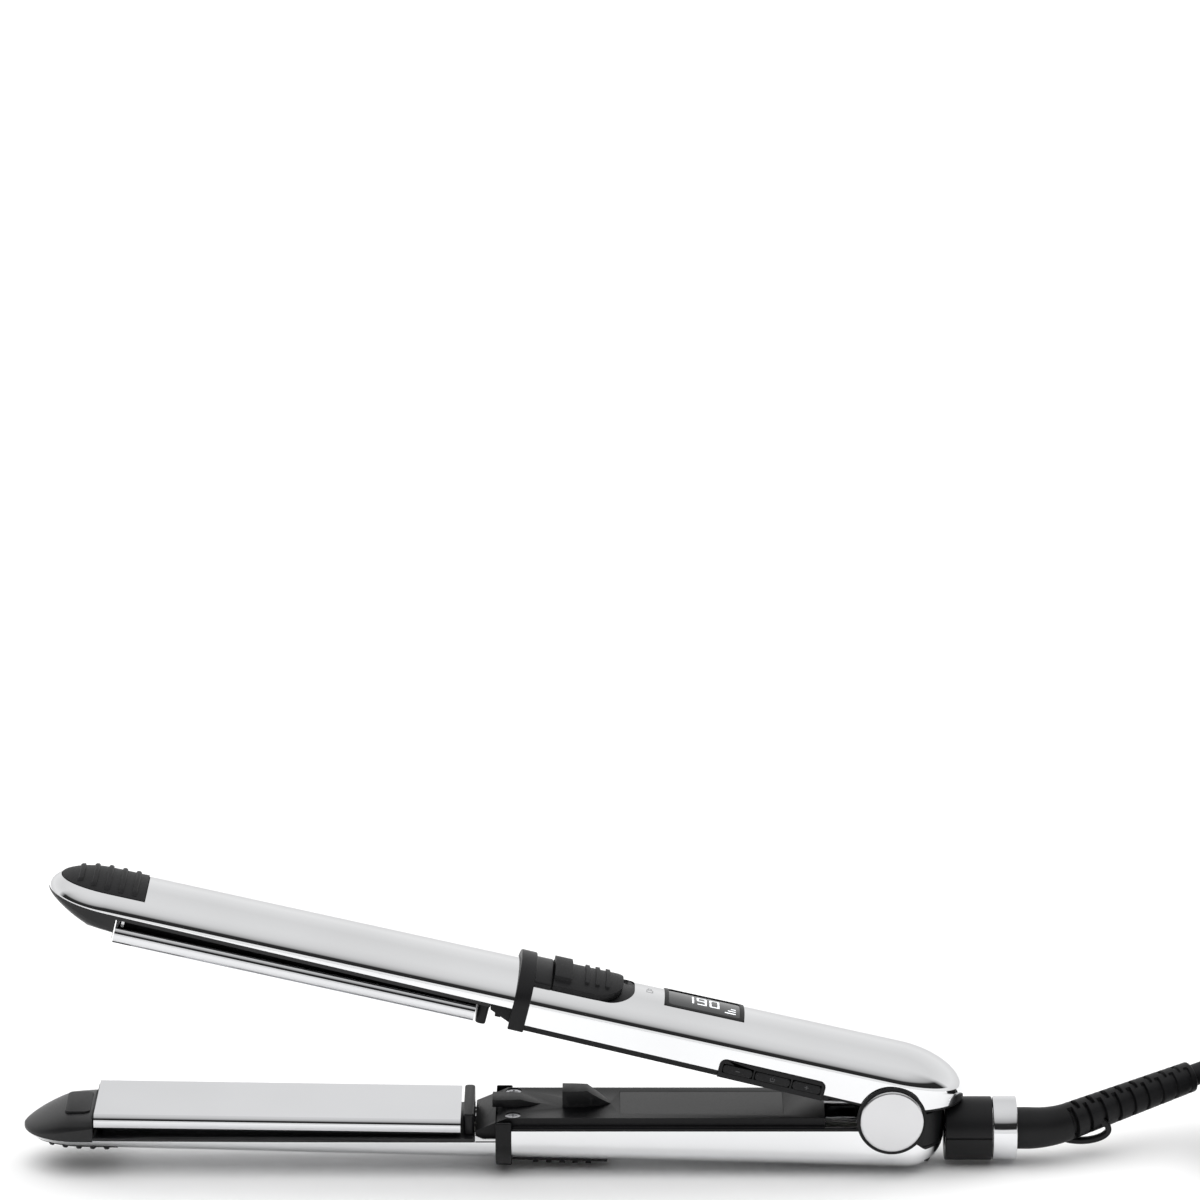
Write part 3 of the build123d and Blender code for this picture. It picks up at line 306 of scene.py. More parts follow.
# %% Chrome and plated metal
def chrome_finish(name, tone, clean, smeared, scratch=0.000002):
    material, tree, shader = new_finish(name, Metallic=1.0)
    place = object_place(tree)
    smears = noise(tree, place, 45.0, 5.0, 0.6)
    tree.links.new(remap(tree, smears, clean, smeared), shader.inputs["Roughness"])
    darker = tuple(channel * 0.95 for channel in tone)
    tree.links.new(two_tones(tree, noise(tree, place, 20.0, 2.0), tone, darker), shader.inputs["Base Color"])
    hairlines = noise(tree, object_place(tree, (25, 900, 900)), 6.0, 3.0, 0.7)
    bump(tree, shader, hairlines, scratch, 0.25)
    return material


CHROME = chrome_finish("polished_chrome", (0.83, 0.835, 0.845), 0.035, 0.075)
CHROME_TRIM = chrome_finish("chrome_trim", (0.78, 0.785, 0.80), 0.05, 0.10)
PLATE_MIRROR = chrome_finish("plate_coating", (0.72, 0.725, 0.74), 0.04, 0.09)
STEEL = chrome_finish("turned_steel", (0.55, 0.55, 0.57), 0.22, 0.34, 0.00001)
CAP_SATIN = chrome_finish("satin_cap", (0.66, 0.66, 0.67), 0.20, 0.30, 0.000006)
BRASS = chrome_finish("brass", (0.78, 0.60, 0.30), 0.18, 0.30, 0.00001)


# %% [markdown]
# The moulded parts are black nylon with an eroded, slightly glossy grain. The grip parts are softer and
# duller.

# %% Plastics and rubber
def moulded_finish(name, tone, roughness, grain_scale, grain_depth, coat=0.0, gloss=0.22):
    material, tree, shader = new_finish(name, Specular_IOR_Level=gloss, Coat_Weight=coat, Coat_Roughness=0.12)
    place = object_place(tree)
    cloudy = noise(tree, place, 60.0, 3.0)
    lighter = tuple(channel * 1.5 + 0.001 for channel in tone)
    tree.links.new(two_tones(tree, cloudy, tone, lighter), shader.inputs["Base Color"])
    grain = noise(tree, place, grain_scale, 6.0, 0.65)
    tree.links.new(remap(tree, grain, roughness - 0.06, roughness + 0.08), shader.inputs["Roughness"])
    bump(tree, shader, grain, grain_depth)
    return material


BLACK_PLASTIC = moulded_finish("black_moulding", (0.004, 0.004, 0.0045), 0.40, 2600.0, 0.00003)
SOFT_GRIP = moulded_finish("soft_grip", (0.006, 0.006, 0.0065), 0.52, 1800.0, 0.00005)
CORD_RUBBER = moulded_finish("cord_rubber", (0.005, 0.005, 0.0055), 0.46, 1500.0, 0.00004)
DISPLAY_GLASS = moulded_finish("display_glass", (0.010, 0.011, 0.012), 0.12, 300.0, 0.000002, coat=0.6)
DISPLAY_BACK = moulded_finish("display_back", (0.05, 0.055, 0.06), 0.35, 900.0, 0.00002)
LABEL_FILM = moulded_finish("label_film", (0.008, 0.008, 0.0085), 0.30, 5000.0, 0.00001)
BOARD_GREEN = moulded_finish("circuit_board", (0.02, 0.10, 0.045), 0.45, 700.0, 0.00003)
CERAMIC = moulded_finish("ceramic", (0.78, 0.77, 0.73), 0.6, 1500.0, 0.00004)
WIRE_SLEEVE = moulded_finish("wire_sleeve", (0.62, 0.62, 0.60), 0.7, 2500.0, 0.00008)
SLOT_FINISHES = {
    "chrome_shell": CHROME, "chrome_trim": CHROME_TRIM, "plate_coating": PLATE_MIRROR,
    "black_plastic": BLACK_PLASTIC, "soft_grip": SOFT_GRIP, "cord_rubber": CORD_RUBBER,
    "display_glass": DISPLAY_GLASS, "display_back": DISPLAY_BACK, "label_film": LABEL_FILM,
    "steel": STEEL, "brass": BRASS, "board": BOARD_GREEN, "ceramic": CERAMIC, "wire_jacket": WIRE_SLEEVE}

# %% Each CAD node gets the finish of its slot
slot_of = {entry["node"]: entry["material_slot"] for entry in frame["record"]["subparts"]}
for label, node in nodes.items():
    finish = SLOT_FINISHES[slot_of.get(label, "black_plastic")]
    node.data.materials.clear()
    node.data.materials.append(finish)
for label in ("pivot_caps",):
    nodes[label].data.materials[0] = CAP_SATIN
mains_lead.data.materials.append(CORD_RUBBER)
print("finished nodes:", len(nodes))

# %% [markdown]
# ## Chrome shells
# Each arm is pressed from one piece of chromed metal. A mirror shows every flat and crease, so the shells
# are lofted: a row of arch-shaped sections from the nose to the rear, closing in a smooth dome at each end.
# The sheet then gets its thickness, and the openings are cut out of it.

# %% Sizes of an arm, in its own coordinates
HALF_WIDTH = 15.2
ARCH_RISE = 8.0
WALL = 1.0
NOSE_STATION = 233.3
NOSE_ROUND = 17.0
BARREL_EDGE = 6.8
REAR_LEVEL = 8.0
EDGE_STEP = 111.5
PAD_HALF_WIDTH = 11.4
PAD_SEAT = 0.2
PAD_SEAT_BEHIND = 0.21
PAD_END = -(NOSE_STATION + NOSE_ROUND - 0.7 * (HALF_WIDTH - PAD_HALF_WIDTH) - 25.0)
PAD_LEVEL = 7.5
RIBS = 5
FIRST_RIB = -226.0
RIB_PITCH = 4.0
ARM_SIZES = {
    "upper": {"crown": 17.7, "taper": 0.0156, "edge": 2.8, "rear": 0.0, "round": 20.0},
    "lower": {"crown": 18.0, "taper": 0.0262, "edge": 3.45, "rear": 4.6, "round": 11.0}}


def end_share(x, arm):
    """1 along the arm, falling to 0 at its two ends as a quarter circle does."""
    if x < -NOSE_STATION:
        reach = (-x - NOSE_STATION) / NOSE_ROUND
    elif x > arm["rear"]:
        reach = (x - arm["rear"]) / arm["round"]
    else:
        return 1.0
    return math.sqrt(max(1.0 - reach * reach, 0.0))


def edge_height(x, arm, name):
    """Height of the shell's free edge above the parting plane."""
    if x < -EDGE_STEP:
        return BARREL_EDGE
    if x <= 0:
        return arm["edge"]
    if name == "upper":
        return arm["edge"] + x * math.tan(math.radians(12.6))
    rise = min(x / 9.6, 1.0)
    return arm["edge"] + (9.6 - arm["edge"]) * rise ** 1.4


def stations(arm):
    """Distances along the arm, close together at the ends and at the edge's step."""
    nose = [-NOSE_STATION - NOSE_ROUND * math.cos(math.radians(a)) for a in range(2, 91, 4)]
    rear = [arm["rear"] + arm["round"] * math.sin(math.radians(a)) for a in range(0, 89, 4)]
    middle = [-NOSE_STATION + step * (NOSE_STATION + arm["rear"]) / 60 for step in range(1, 60)]
    near_step = [-EDGE_STEP - 0.02, -EDGE_STEP + 0.02]
    return sorted(set(nose + rear + middle + near_step))


def arch_section(x, arm, name, count=44):
    """Points over the arch at a station, from the edge on one side to the edge on the other."""
    share = end_share(x, arm)
    half = HALF_WIDTH * share
    crown = arm["crown"] + arm["taper"] * min(x, arm["rear"])
    base = BARREL_EDGE if x < 0 else REAR_LEVEL
    top = base + (crown - base) * share
    spring = base + (crown - ARCH_RISE - base) * share
    low_edge = min(edge_height(x, arm, name), top - 0.15 * share)
    low_edge = min(low_edge, top)
    side = max(spring - low_edge, 0.05)
    lift = (low_edge + side - spring) / max(top - spring, 0.000001)
    start = math.asin(min(max(lift, 0.0), 0.98))
    edge = half * math.cos(start)
    points = []
    for step in range(count + 1):
        angle = start + (math.pi - 2 * start) * step / count
        points.append((x, -half * math.cos(angle), spring + (top - spring) * math.sin(angle)))
    walls = [(x, -edge, low_edge + side * rung / 5) for rung in range(5)]
    other = [(x, edge, low_edge + side * rung / 5) for rung in range(4, -1, -1)]
    return walls + points + other


def loft(name, sections):
    """A sheet of quads through rows of points."""
    sheet = bmesh.new()
    rows = [[sheet.verts.new(Vector(point) * MM) for point in section] for section in sections]
    for row, following in zip(rows, rows[1:]):
        for index in range(len(row) - 1):
            sheet.faces.new((row[index], following[index], following[index + 1], row[index + 1]))
    bmesh.ops.remove_doubles(sheet, verts=sheet.verts[:], dist=0.000004)
    bmesh.ops.dissolve_degenerate(sheet, dist=0.000004, edges=sheet.edges[:])
    bmesh.ops.recalc_face_normals(sheet, faces=sheet.faces[:])
    mesh = bpy.data.meshes.new(name)
    sheet.to_mesh(mesh)
    sheet.free()
    piece = bpy.data.objects.new(name, mesh)
    bpy.context.scene.collection.objects.link(piece)
    return piece


def only(piece):
    """Makes the piece the one that operators act on."""
    bpy.ops.object.select_all(action="DESELECT")
    piece.select_set(True)
    bpy.context.view_layer.objects.active = piece
    return piece


def face_outward(piece):
    """Recalculates the normals in edit mode and leaves the piece selected."""
    only(piece)
    bpy.ops.object.mode_set(mode="EDIT")
    bpy.ops.mesh.select_all(action="SELECT")
    bpy.ops.mesh.normals_make_consistent(inside=False)
    bpy.ops.object.mode_set(mode="OBJECT")


def apply_modifiers(piece):
    only(piece)
    for modifier in list(piece.modifiers):
        bpy.ops.object.modifier_apply(modifier=modifier.name)


def cut_out(piece, cutter):
    """Takes the cutter's shape out of the piece."""
    boolean = piece.modifiers.new("opening", "BOOLEAN")
    boolean.operation = "DIFFERENCE"
    boolean.solver = "EXACT"
    boolean.object = cutter
    apply_modifiers(piece)
    bpy.data.objects.remove(cutter)


SLOT_FRONT, SLOT_REAR, SLOT_HALF, SLOT_CORNER = -109.25, -80.0, 11.2, 8.0
BAR_FRONT, BAR_REAR, BAR_TOP, BAR_CORNER = -52.2, -20.9, 6.7, 2.0
DISPLAY_REACH = (-71.2, -47.6)
DISPLAY_HALF = 7.4


def box_cutter(x, y, z, corner):
    """A block between two values on each axis, its upright edges rounded in edit mode."""
    bpy.ops.object.select_all(action="DESELECT")
    size = Vector((x[1] - x[0], y[1] - y[0], z[1] - z[0])) * MM
    middle = Vector((x[1] + x[0], y[1] + y[0], z[1] + z[0])) * MM / 2
    bpy.ops.mesh.primitive_cube_add(size=1.0, location=middle, scale=size)
    cutter = bpy.context.active_object
    bpy.ops.object.transform_apply(location=True, rotation=True, scale=True)
    bpy.ops.object.mode_set(mode="EDIT")
    shape = bmesh.from_edit_mesh(cutter.data)
    for edge in shape.edges:
        a, b = (vertex.co for vertex in edge.verts)
        edge.select_set(abs(a.x - b.x) < 1e-6 and abs(a.y - b.y) < 1e-6)
    bmesh.update_edit_mesh(cutter.data)
    bpy.ops.mesh.bevel(offset=corner * MM, segments=6, affect="EDGES")
    bpy.ops.object.mode_set(mode="OBJECT")
    return cutter


def prism_cutter(outline, depth):
    """A block with the given outline, raised from a face."""
    shape = bmesh.new()
    face = shape.faces.new([shape.verts.new(Vector(point) * MM) for point in outline])
    raised = bmesh.ops.extrude_face_region(shape, geom=[face])["geom"]
    moved = [part for part in raised if isinstance(part, bmesh.types.BMVert)]
    bmesh.ops.translate(shape, vec=Vector(depth) * MM, verts=moved)
    bmesh.ops.recalc_face_normals(shape, faces=shape.faces[:])
    mesh = bpy.data.meshes.new("cutter")
    shape.to_mesh(mesh)
    shape.free()
    cutter = bpy.data.objects.new("cutter", mesh)
    bpy.context.scene.collection.objects.link(cutter)
    return cutter


def corner_arc(across, up, radius, first, steps=10):
    """A quarter circle of points around a centre, from an angle in degrees."""
    return [(across + radius * math.cos(math.radians(first + 90 * step / steps)),
             up + radius * math.sin(math.radians(first + 90 * step / steps))) for step in range(steps + 1)]


def slot_cutter():
    """The slider's slot: square under the collar, rounded at the other end."""
    outline = [(SLOT_FRONT, -SLOT_HALF)]
    outline += corner_arc(SLOT_REAR - SLOT_CORNER, -SLOT_HALF + SLOT_CORNER, SLOT_CORNER, -90)
    outline += corner_arc(SLOT_REAR - SLOT_CORNER, SLOT_HALF - SLOT_CORNER, SLOT_CORNER, 0)
    outline.append((SLOT_FRONT, SLOT_HALF))
    return prism_cutter([(x, y, BARREL_EDGE) for x, y in outline], (0, 0, 34))


def button_cutter():
    """The button bar's opening, open at the edge and rounded at its two upper corners."""
    outline = [(BAR_FRONT, -1.0), (BAR_REAR, -1.0)]
    outline += corner_arc(BAR_REAR - BAR_CORNER, BAR_TOP - BAR_CORNER, BAR_CORNER, 0)
    outline += corner_arc(BAR_FRONT + BAR_CORNER, BAR_TOP - BAR_CORNER, BAR_CORNER, 90)
    return prism_cutter([(x, -20.0, z) for x, z in outline], (0, 8, 0))


def pad_cutter(half_width, end, seat=0.0):
    """The finger pad's outline: it follows the nose at a margin and ends square. A seat makes it smaller."""
    front = NOSE_ROUND - 0.7 * (HALF_WIDTH - PAD_HALF_WIDTH) - seat
    outline = [(end, -half_width), (end, half_width)]
    for step in range(25):
        angle = math.pi / 2 + math.pi * step / 24
        outline.append((-NOSE_STATION + front * math.cos(angle), half_width * math.sin(angle)))
    return prism_cutter([(x, y, PAD_LEVEL) for x, y in outline], (0, 0, 20))


def pad_half_width(x):
    """Half the finger pad's width at a station, with a small seat all round."""
    front = NOSE_ROUND - 0.7 * (HALF_WIDTH - PAD_HALF_WIDTH) - PAD_SEAT
    half = PAD_HALF_WIDTH - PAD_SEAT
    if x > -NOSE_STATION:
        return half
    return half * math.sqrt(max(1.0 - ((-x - NOSE_STATION) / front) ** 2, 0.0))


def cross_band(shape, x, arm, width, below, above, reach):
    """A raised bar that follows the arch from side to side."""
    rings = []
    profile = [(-width / 2, below), (-width / 2, above * 0.55), (-width / 4, above), (width / 4, above),
               (width / 2, above * 0.55), (width / 2, below)]
    for step in range(25):
        across = reach * (2 * step / 24 - 1)
        ring = []
        for along, lift in profile:
            share = end_share(x + along, arm)
            crown = arm["crown"] + arm["taper"] * (x + along)
            top = BARREL_EDGE + (crown - BARREL_EDGE) * share
            spring = BARREL_EDGE + (crown - ARCH_RISE - BARREL_EDGE) * share
            side = min(abs(across) / (HALF_WIDTH * share), 0.999)
            height = spring + (top - spring) * math.sqrt(1 - side * side)
            fade = 1.0 if abs(step - 12) < 12 else 0.35
            raised = lift * fade if lift > 0 else lift
            ring.append(shape.verts.new(Vector((x + along, across, height + raised)) * MM))
        rings.append(ring)
    for ring, following in zip(rings, rings[1:]):
        for index in range(len(ring)):
            after = (index + 1) % len(ring)
            shape.faces.new((ring[index], ring[after], following[after], following[index]))
    shape.faces.new(rings[0])
    shape.faces.new(rings[-1])


def make_pad(name, place):
    """The ribbed finger pad: a piece of the arch that fills the opening, with five bars across it."""
    arm = ARM_SIZES[name]
    sections = [arch_section(x, arm, name) for x in stations(arm) if x < -218.0]
    piece = loft(name + "_finger_pad_smooth", sections)
    face_outward(piece)
    if sum(polygon.normal.z * polygon.area for polygon in piece.data.polygons) < 0:
        piece.data.flip_normals()
    wall = piece.modifiers.new("wall", "SOLIDIFY")
    wall.thickness = 1.2 * MM
    wall.offset = -0.8
    wall.use_even_offset = False
    apply_modifiers(piece)
    cutter = pad_cutter(PAD_HALF_WIDTH - PAD_SEAT, PAD_END - PAD_SEAT_BEHIND, PAD_SEAT)
    boolean = piece.modifiers.new("outline", "BOOLEAN")
    boolean.operation = "INTERSECT"
    boolean.solver = "EXACT"
    boolean.object = cutter
    apply_modifiers(piece)
    bpy.data.objects.remove(cutter)
    shape = bmesh.new()
    shape.from_mesh(piece.data)
    for rib in range(RIBS):
        x = FIRST_RIB - RIB_PITCH * rib
        cross_band(shape, x, arm, 1.5, -0.4, 0.75, pad_half_width(x - 1.0) - 0.9)
    bmesh.ops.recalc_face_normals(shape, faces=shape.faces[:])
    shape.to_mesh(piece.data)
    shape.free()
    set_in_place(piece, place)
    face_outward(piece)
    bpy.ops.object.shade_smooth_by_angle(angle=math.radians(32))
    piece.data.materials.append(SOFT_GRIP)
    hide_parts(name + "_finger_pad")
    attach(piece, name + "_arm")
    print(piece.name, "faces:", len(piece.data.polygons))
    return piece


def set_in_place(piece, arm_place):
    """Moves the mesh, not the object, from the arm's own coordinates into the frame."""
    piece.data.transform(arm_place)
    if arm_place.determinant() < 0:
        piece.data.flip_normals()
    piece.data.update()
    return piece


# %% The two shells
def make_shell(name, place):
    arm = ARM_SIZES[name]
    piece = loft(name + "_chrome_shell", [arch_section(x, arm, name) for x in stations(arm)])
    face_outward(piece)
    centre_up = sum(polygon.normal.z * polygon.area for polygon in piece.data.polygons)
    if centre_up < 0:
        piece.data.flip_normals()
    wall = piece.modifiers.new("wall", "SOLIDIFY")
    wall.thickness = WALL * MM
    wall.offset = -1.0
    wall.use_even_offset = False
    apply_modifiers(piece)
    cut_out(piece, pad_cutter(PAD_HALF_WIDTH, PAD_END))
    if name == "upper":
        cut_out(piece, slot_cutter())
        cut_out(piece, box_cutter(DISPLAY_REACH, (-DISPLAY_HALF, DISPLAY_HALF), (8.8, 40.0), 1.2))
        cut_out(piece, button_cutter())
    set_in_place(piece, place)
    only(piece)
    bpy.ops.object.shade_smooth_by_angle(angle=math.radians(32))
    piece.data.materials.append(CHROME)
    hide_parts(name + "_shell")
    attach(piece, name + "_arm")
    print(piece.name, "faces:", len(piece.data.polygons))
    return piece


upper_chrome = make_shell("upper", UPPER)
make_shell("lower", LOWER)
make_pad("upper", UPPER)
make_pad("lower", LOWER)

# %% [markdown]
# ## Moulded pieces with softened edges
# A moulding never has a knife edge. A copy of each plain part is merged, its flat faces are joined, and a
# narrow bevel rounds every corner, so that the edges catch the light as the real ones do.

# %% A softened copy of a frame part
def softened(label, width, finish, body, corner_angle=38, segments=3):
    source = nodes[label]
    piece = bpy.data.objects.new(label + "_finished", source.data.copy())
    bpy.context.scene.collection.objects.link(piece)
    shape = bmesh.new()
    shape.from_mesh(piece.data)
    bmesh.ops.remove_doubles(shape, verts=shape.verts[:], dist=0.000002)
    bmesh.ops.dissolve_limit(shape, angle_limit=math.radians(0.6), verts=shape.verts[:], edges=shape.edges[:])
    shape.to_mesh(piece.data)
    shape.free()
    edges = piece.modifiers.new("soft_edges", "BEVEL")
    edges.width = width * MM
    edges.segments = segments
    edges.limit_method = "ANGLE"
    edges.angle_limit = math.radians(corner_angle)
    edges.use_clamp_overlap = True
    apply_modifiers(piece)
    bpy.ops.object.shade_smooth_by_angle(angle=math.radians(30))
    piece.data.materials.clear()
    piece.data.materials.append(finish)
    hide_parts(label)
    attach(piece, body)
    return piece


body_of_node = {label: node["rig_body"] for label, node in nodes.items()}
SOFT_EDGES = {
    "upper_collar": 0.45, "lower_collar": 0.45, "lock_slider": 0.4, "slot_liner": 0.12,
    "lower_inner_cover": 0.35,
    "upper_inner_cover": 0.3, "lower_end_block": 0.4, "upper_end_block": 0.4, "swivel_housing_upper": 0.35,
    "swivel_housing_lower": 0.35, "hinge_housing": 0.3, "lower_rear_grip": 0.25, "display_bezel": 0.15,
    "button_bezel": 0.15, "swivel_ring": 0.3, "pivot_caps": 0.3,
    "cap_rings": 0.15, "cord_tie": 0.2, "button_minus": 0.15, "button_power": 0.15, "button_plus": 0.15,
    "lower_nose_inlay": 0.2, "upper_nose_inlay": 0.2, "plug_body": 0.4, "plug_pins": 0.3}
made_soft = {}
for label, width in SOFT_EDGES.items():
    finish = nodes[label].data.materials[0]
    made_soft[label] = softened(label, width, finish, body_of_node[label])
print("softened pieces:", len(made_soft))

# %% [markdown]
# ## Noses
# The black nose of each arm rounds down to the tip. It is lofted from closed sections that change from a
# box with rounded corners at the plate to a fine point, and joined to a copy of the rail that runs round
# the plate.

# %% Nose and rail
NOSE_START = -229.6
NOSE_END = -250.25
SLOPE_START = -236.5


def nose_section(x, count=28):
    reach = (NOSE_START - x) / (NOSE_START - NOSE_END)
    half = (HALF_WIDTH - 0.05) * end_share(x, ARM_SIZES["upper"])
    slope = min(max((SLOPE_START - x) / (SLOPE_START - NOSE_END), 0.0), 1.0)
    top, low_face = BARREL_EDGE - 0.05, 5.9 * slope ** 1.35
    roundness = 0.24 + 0.5 * reach ** 1.2
    points = []
    for step in range(count + 1):
        angle = math.pi * step / count
        points.append((x, -half * math.cos(angle), top - (top - low_face) * math.sin(angle) ** roundness))
    return points


def nose_with_rail(name, place):
    source = nodes[name + "_frame"]
    piece = bpy.data.objects.new(name + "_nose_and_rail", source.data.copy())
    bpy.context.scene.collection.objects.link(piece)
    piece.data.transform(place.inverted())
    shape = bmesh.new()
    shape.from_mesh(piece.data)
    bmesh.ops.remove_doubles(shape, verts=shape.verts[:], dist=0.000002)
    bmesh.ops.bisect_plane(shape, geom=shape.verts[:] + shape.edges[:] + shape.faces[:], dist=1e-7,
                           plane_co=(NOSE_START * MM, 0, 0), plane_no=(-1, 0, 0), clear_outer=True)
    bmesh.ops.holes_fill(shape, edges=[edge for edge in shape.edges if edge.is_boundary], sides=0)
    places = [NOSE_START + (NOSE_END - NOSE_START) * math.sin(math.pi / 2 * step / 36) for step in range(37)]
    rings = []
    for x in places:
        rings.append([shape.verts.new(Vector(point) * MM) for point in nose_section(x)])
    sides = []
    for ring, following in zip(rings, rings[1:]):
        for index in range(len(ring)):
            after = (index + 1) % len(ring)
            sides.append(shape.faces.new((ring[index], ring[after], following[after], following[index])))
    sides.append(shape.faces.new(rings[0]))
    sides.append(shape.faces.new(rings[-1]))
    bmesh.ops.recalc_face_normals(shape, faces=shape.faces[:])
    shape.to_mesh(piece.data)
    shape.free()
    set_in_place(piece, place)
    face_outward(piece)
    bpy.ops.object.shade_smooth_by_angle(angle=math.radians(32))
    piece.data.materials.clear()
    piece.data.materials.append(SATIN_NOSE)
    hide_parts(name + "_frame")
    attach(piece, name + "_arm")
    print(piece.name, "faces:", len(piece.data.polygons))


SATIN_NOSE = moulded_finish("satin_nose", (0.006, 0.006, 0.0065), 0.36, 3200.0, 0.00002, gloss=0.35)
nose_with_rail("upper", UPPER)
nose_with_rail("lower", LOWER)

# %% [markdown]
# ## Strain relief
# The rubber strain relief is a sleeve that bends at an elbow and then tapers. Slots cut in from both sides,
# with short ones between them on top, let it flex. It is a tube whose radius drops in each slot.

# %% Sleeve, elbow and slotted arm
BOOT_START = PIVOT / MM + Vector((29.8, 0.0, -8.05))
SLOT_PITCH = 4.8
SLOT_WIDTH = 1.25
CORE_RADIUS = 3.9


def boot_line():
    """Centre points from the sleeve's start to the tip, with the elbow rounded."""
    before = BOOT_ELBOW - Vector((6.0, 0, 0))
    after = BOOT_ELBOW + BOOT_DIRECTION * 6.0
    points = [BOOT_START.lerp(before, step / 24) for step in range(24)]
    for step in range(16):
        t = step / 16
        points.append(before * (1 - t) ** 2 + BOOT_ELBOW * 2 * t * (1 - t) + after * t ** 2)
    return points + [after.lerp(BOOT_TIP, step / 160) for step in range(161)]


def boot_radius(along_arm, angle):
    """Radius at a distance from the elbow (negative on the sleeve) and an angle from the top."""
    if along_arm < 5.0:
        share = min(max((along_arm + 6.0) / 11.0, 0.0), 1.0)
        return 6.05 - 0.65 * share
    radius = 5.4 - 0.9 * (along_arm - 5.0) / 42.0
    if along_arm > 46.2:
        radius -= 0.9 * (along_arm - 46.2) ** 2 / 0.64
    from_tip = 47.0 - along_arm
    side = abs(math.sin(angle))
    long_slot = abs((from_tip - 2.6) % SLOT_PITCH - SLOT_PITCH / 2)
    in_long = long_slot > SLOT_PITCH / 2 - SLOT_WIDTH / 2 and side > 0.36 and from_tip < 43.0
    in_short = long_slot < SLOT_WIDTH / 2 and side < 0.5 and from_tip > 3.0 and from_tip < 41.0
    if in_long or in_short:
        return min(radius, CORE_RADIUS)
    return radius


def make_boot():
    line = boot_line()
    sides = 72
    shape = bmesh.new()
    rings = []
    travelled = 0.0
    elbow_at = (BOOT_ELBOW - BOOT_START).length
    up = Vector((0, 0, 1))
    for index, place in enumerate(line):
        along = (line[min(index + 1, len(line) - 1)] - line[max(index - 1, 0)]).normalized()
        top = (up - along * up.dot(along)).normalized()
        across = along.cross(top)
        if index:
            travelled += (place - line[index - 1]).length
        ring = []
        for corner in range(sides):
            angle = 2 * math.pi * corner / sides
            radius = boot_radius(travelled - elbow_at, angle)
            spoke = top * math.cos(angle) + across * math.sin(angle)
            ring.append(shape.verts.new((place + radius * spoke) * MM))
        rings.append(ring)
    for ring, following in zip(rings, rings[1:]):
        for corner in range(sides):
            after = (corner + 1) % sides
            shape.faces.new((ring[corner], ring[after], following[after], following[corner]))
    shape.faces.new(rings[0])
    shape.faces.new(rings[-1])
    centre = BOOT_ELBOW + Vector((9.0, 2.5, -1.2))
    loop_rings = []
    for step in range(48):
        turn = 2 * math.pi * step / 48
        middle = Vector((8.1 * math.cos(turn), 0, 3.6 * math.sin(turn)))
        outward = Vector((3.6 * math.cos(turn), 0, 8.1 * math.sin(turn))).normalized()
        ring = []
        for corner in range(16):
            angle = 2 * math.pi * corner / 16
            c, d = math.cos(angle), math.sin(angle)
            a = math.copysign(abs(c) ** 0.6, c) * 0.88
            b = math.copysign(abs(d) ** 0.6, d) * 1.48
            ring.append(shape.verts.new((centre + middle + outward * a + Vector((0, b, 0))) * MM))
        loop_rings.append(ring)
    for step in range(48):
        ring, following = loop_rings[step], loop_rings[(step + 1) % 48]
        for corner in range(16):
            after = (corner + 1) % 16
            shape.faces.new((ring[corner], ring[after], following[after], following[corner]))
    bmesh.ops.recalc_face_normals(shape, faces=shape.faces[:])
    mesh = bpy.data.meshes.new("strain_relief")
    shape.to_mesh(mesh)
    shape.free()
    piece = bpy.data.objects.new("strain_relief", mesh)
    bpy.context.scene.collection.objects.link(piece)
    only(piece)
    bpy.ops.object.shade_smooth_by_angle(angle=math.radians(35))
    piece.data.materials.append(CORD_RUBBER)
    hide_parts("boot")
    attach(piece, "swivel")
    print("strain relief faces:", len(piece.data.polygons))
    return piece


make_boot()

# %% [markdown]
# ## Printed marks
# The display shows plain digits and a level of three bars. The lock and the signs on the buttons are
# printed. Each stroke is a small flat strip laid on the surface under it, by casting a ray down to that
# surface.

# %% Digits, bars and signs
LIT = new_finish("lit_segments", Roughness=0.4, Base_Color=(0.80, 0.82, 0.84, 1), Emission_Strength=0.55,
                 Emission_Color=(0.92, 0.96, 1.0, 1))
PRINT = new_finish("grey_print", Roughness=0.5, Base_Color=(0.30, 0.30, 0.31, 1))
FAINT = new_finish("faint_print", Roughness=0.5, Base_Color=(0.055, 0.055, 0.058, 1))
for material, tree, shader in (LIT, PRINT, FAINT):
    tone = shader.inputs["Base Color"].default_value[:3]
    darker = tuple(channel * 0.9 for channel in tone)
    mottled = two_tones(tree, noise(tree, object_place(tree), 900.0), tone, darker)
    tree.links.new(mottled, shader.inputs["Base Color"])
PRINT_LIFT = 0.03
SEGMENTS = {"0": "abcdef", "1": "bc", "9": "abcdfg"}


def digit(sign, left, bottom, width, height, thick):
    """Rectangles of the lit segments of one digit."""
    middle, top, right = bottom + height / 2, bottom + height, left + width
    gap = 0.12
    places = {
        "a": (left + gap, top - thick, right - gap, top),
        "d": (left + gap, bottom, right - gap, bottom + thick),
        "g": (left + gap, middle - thick / 2, right - gap, middle + thick / 2),
        "f": (left, middle + gap, left + thick, top - gap),
        "b": (right - thick, middle + gap, right, top - gap),
        "e": (left, bottom + gap, left + thick, middle - gap),
        "c": (right - thick, bottom + gap, right, middle - gap)}
    return [places[segment] for segment in SEGMENTS[sign]]


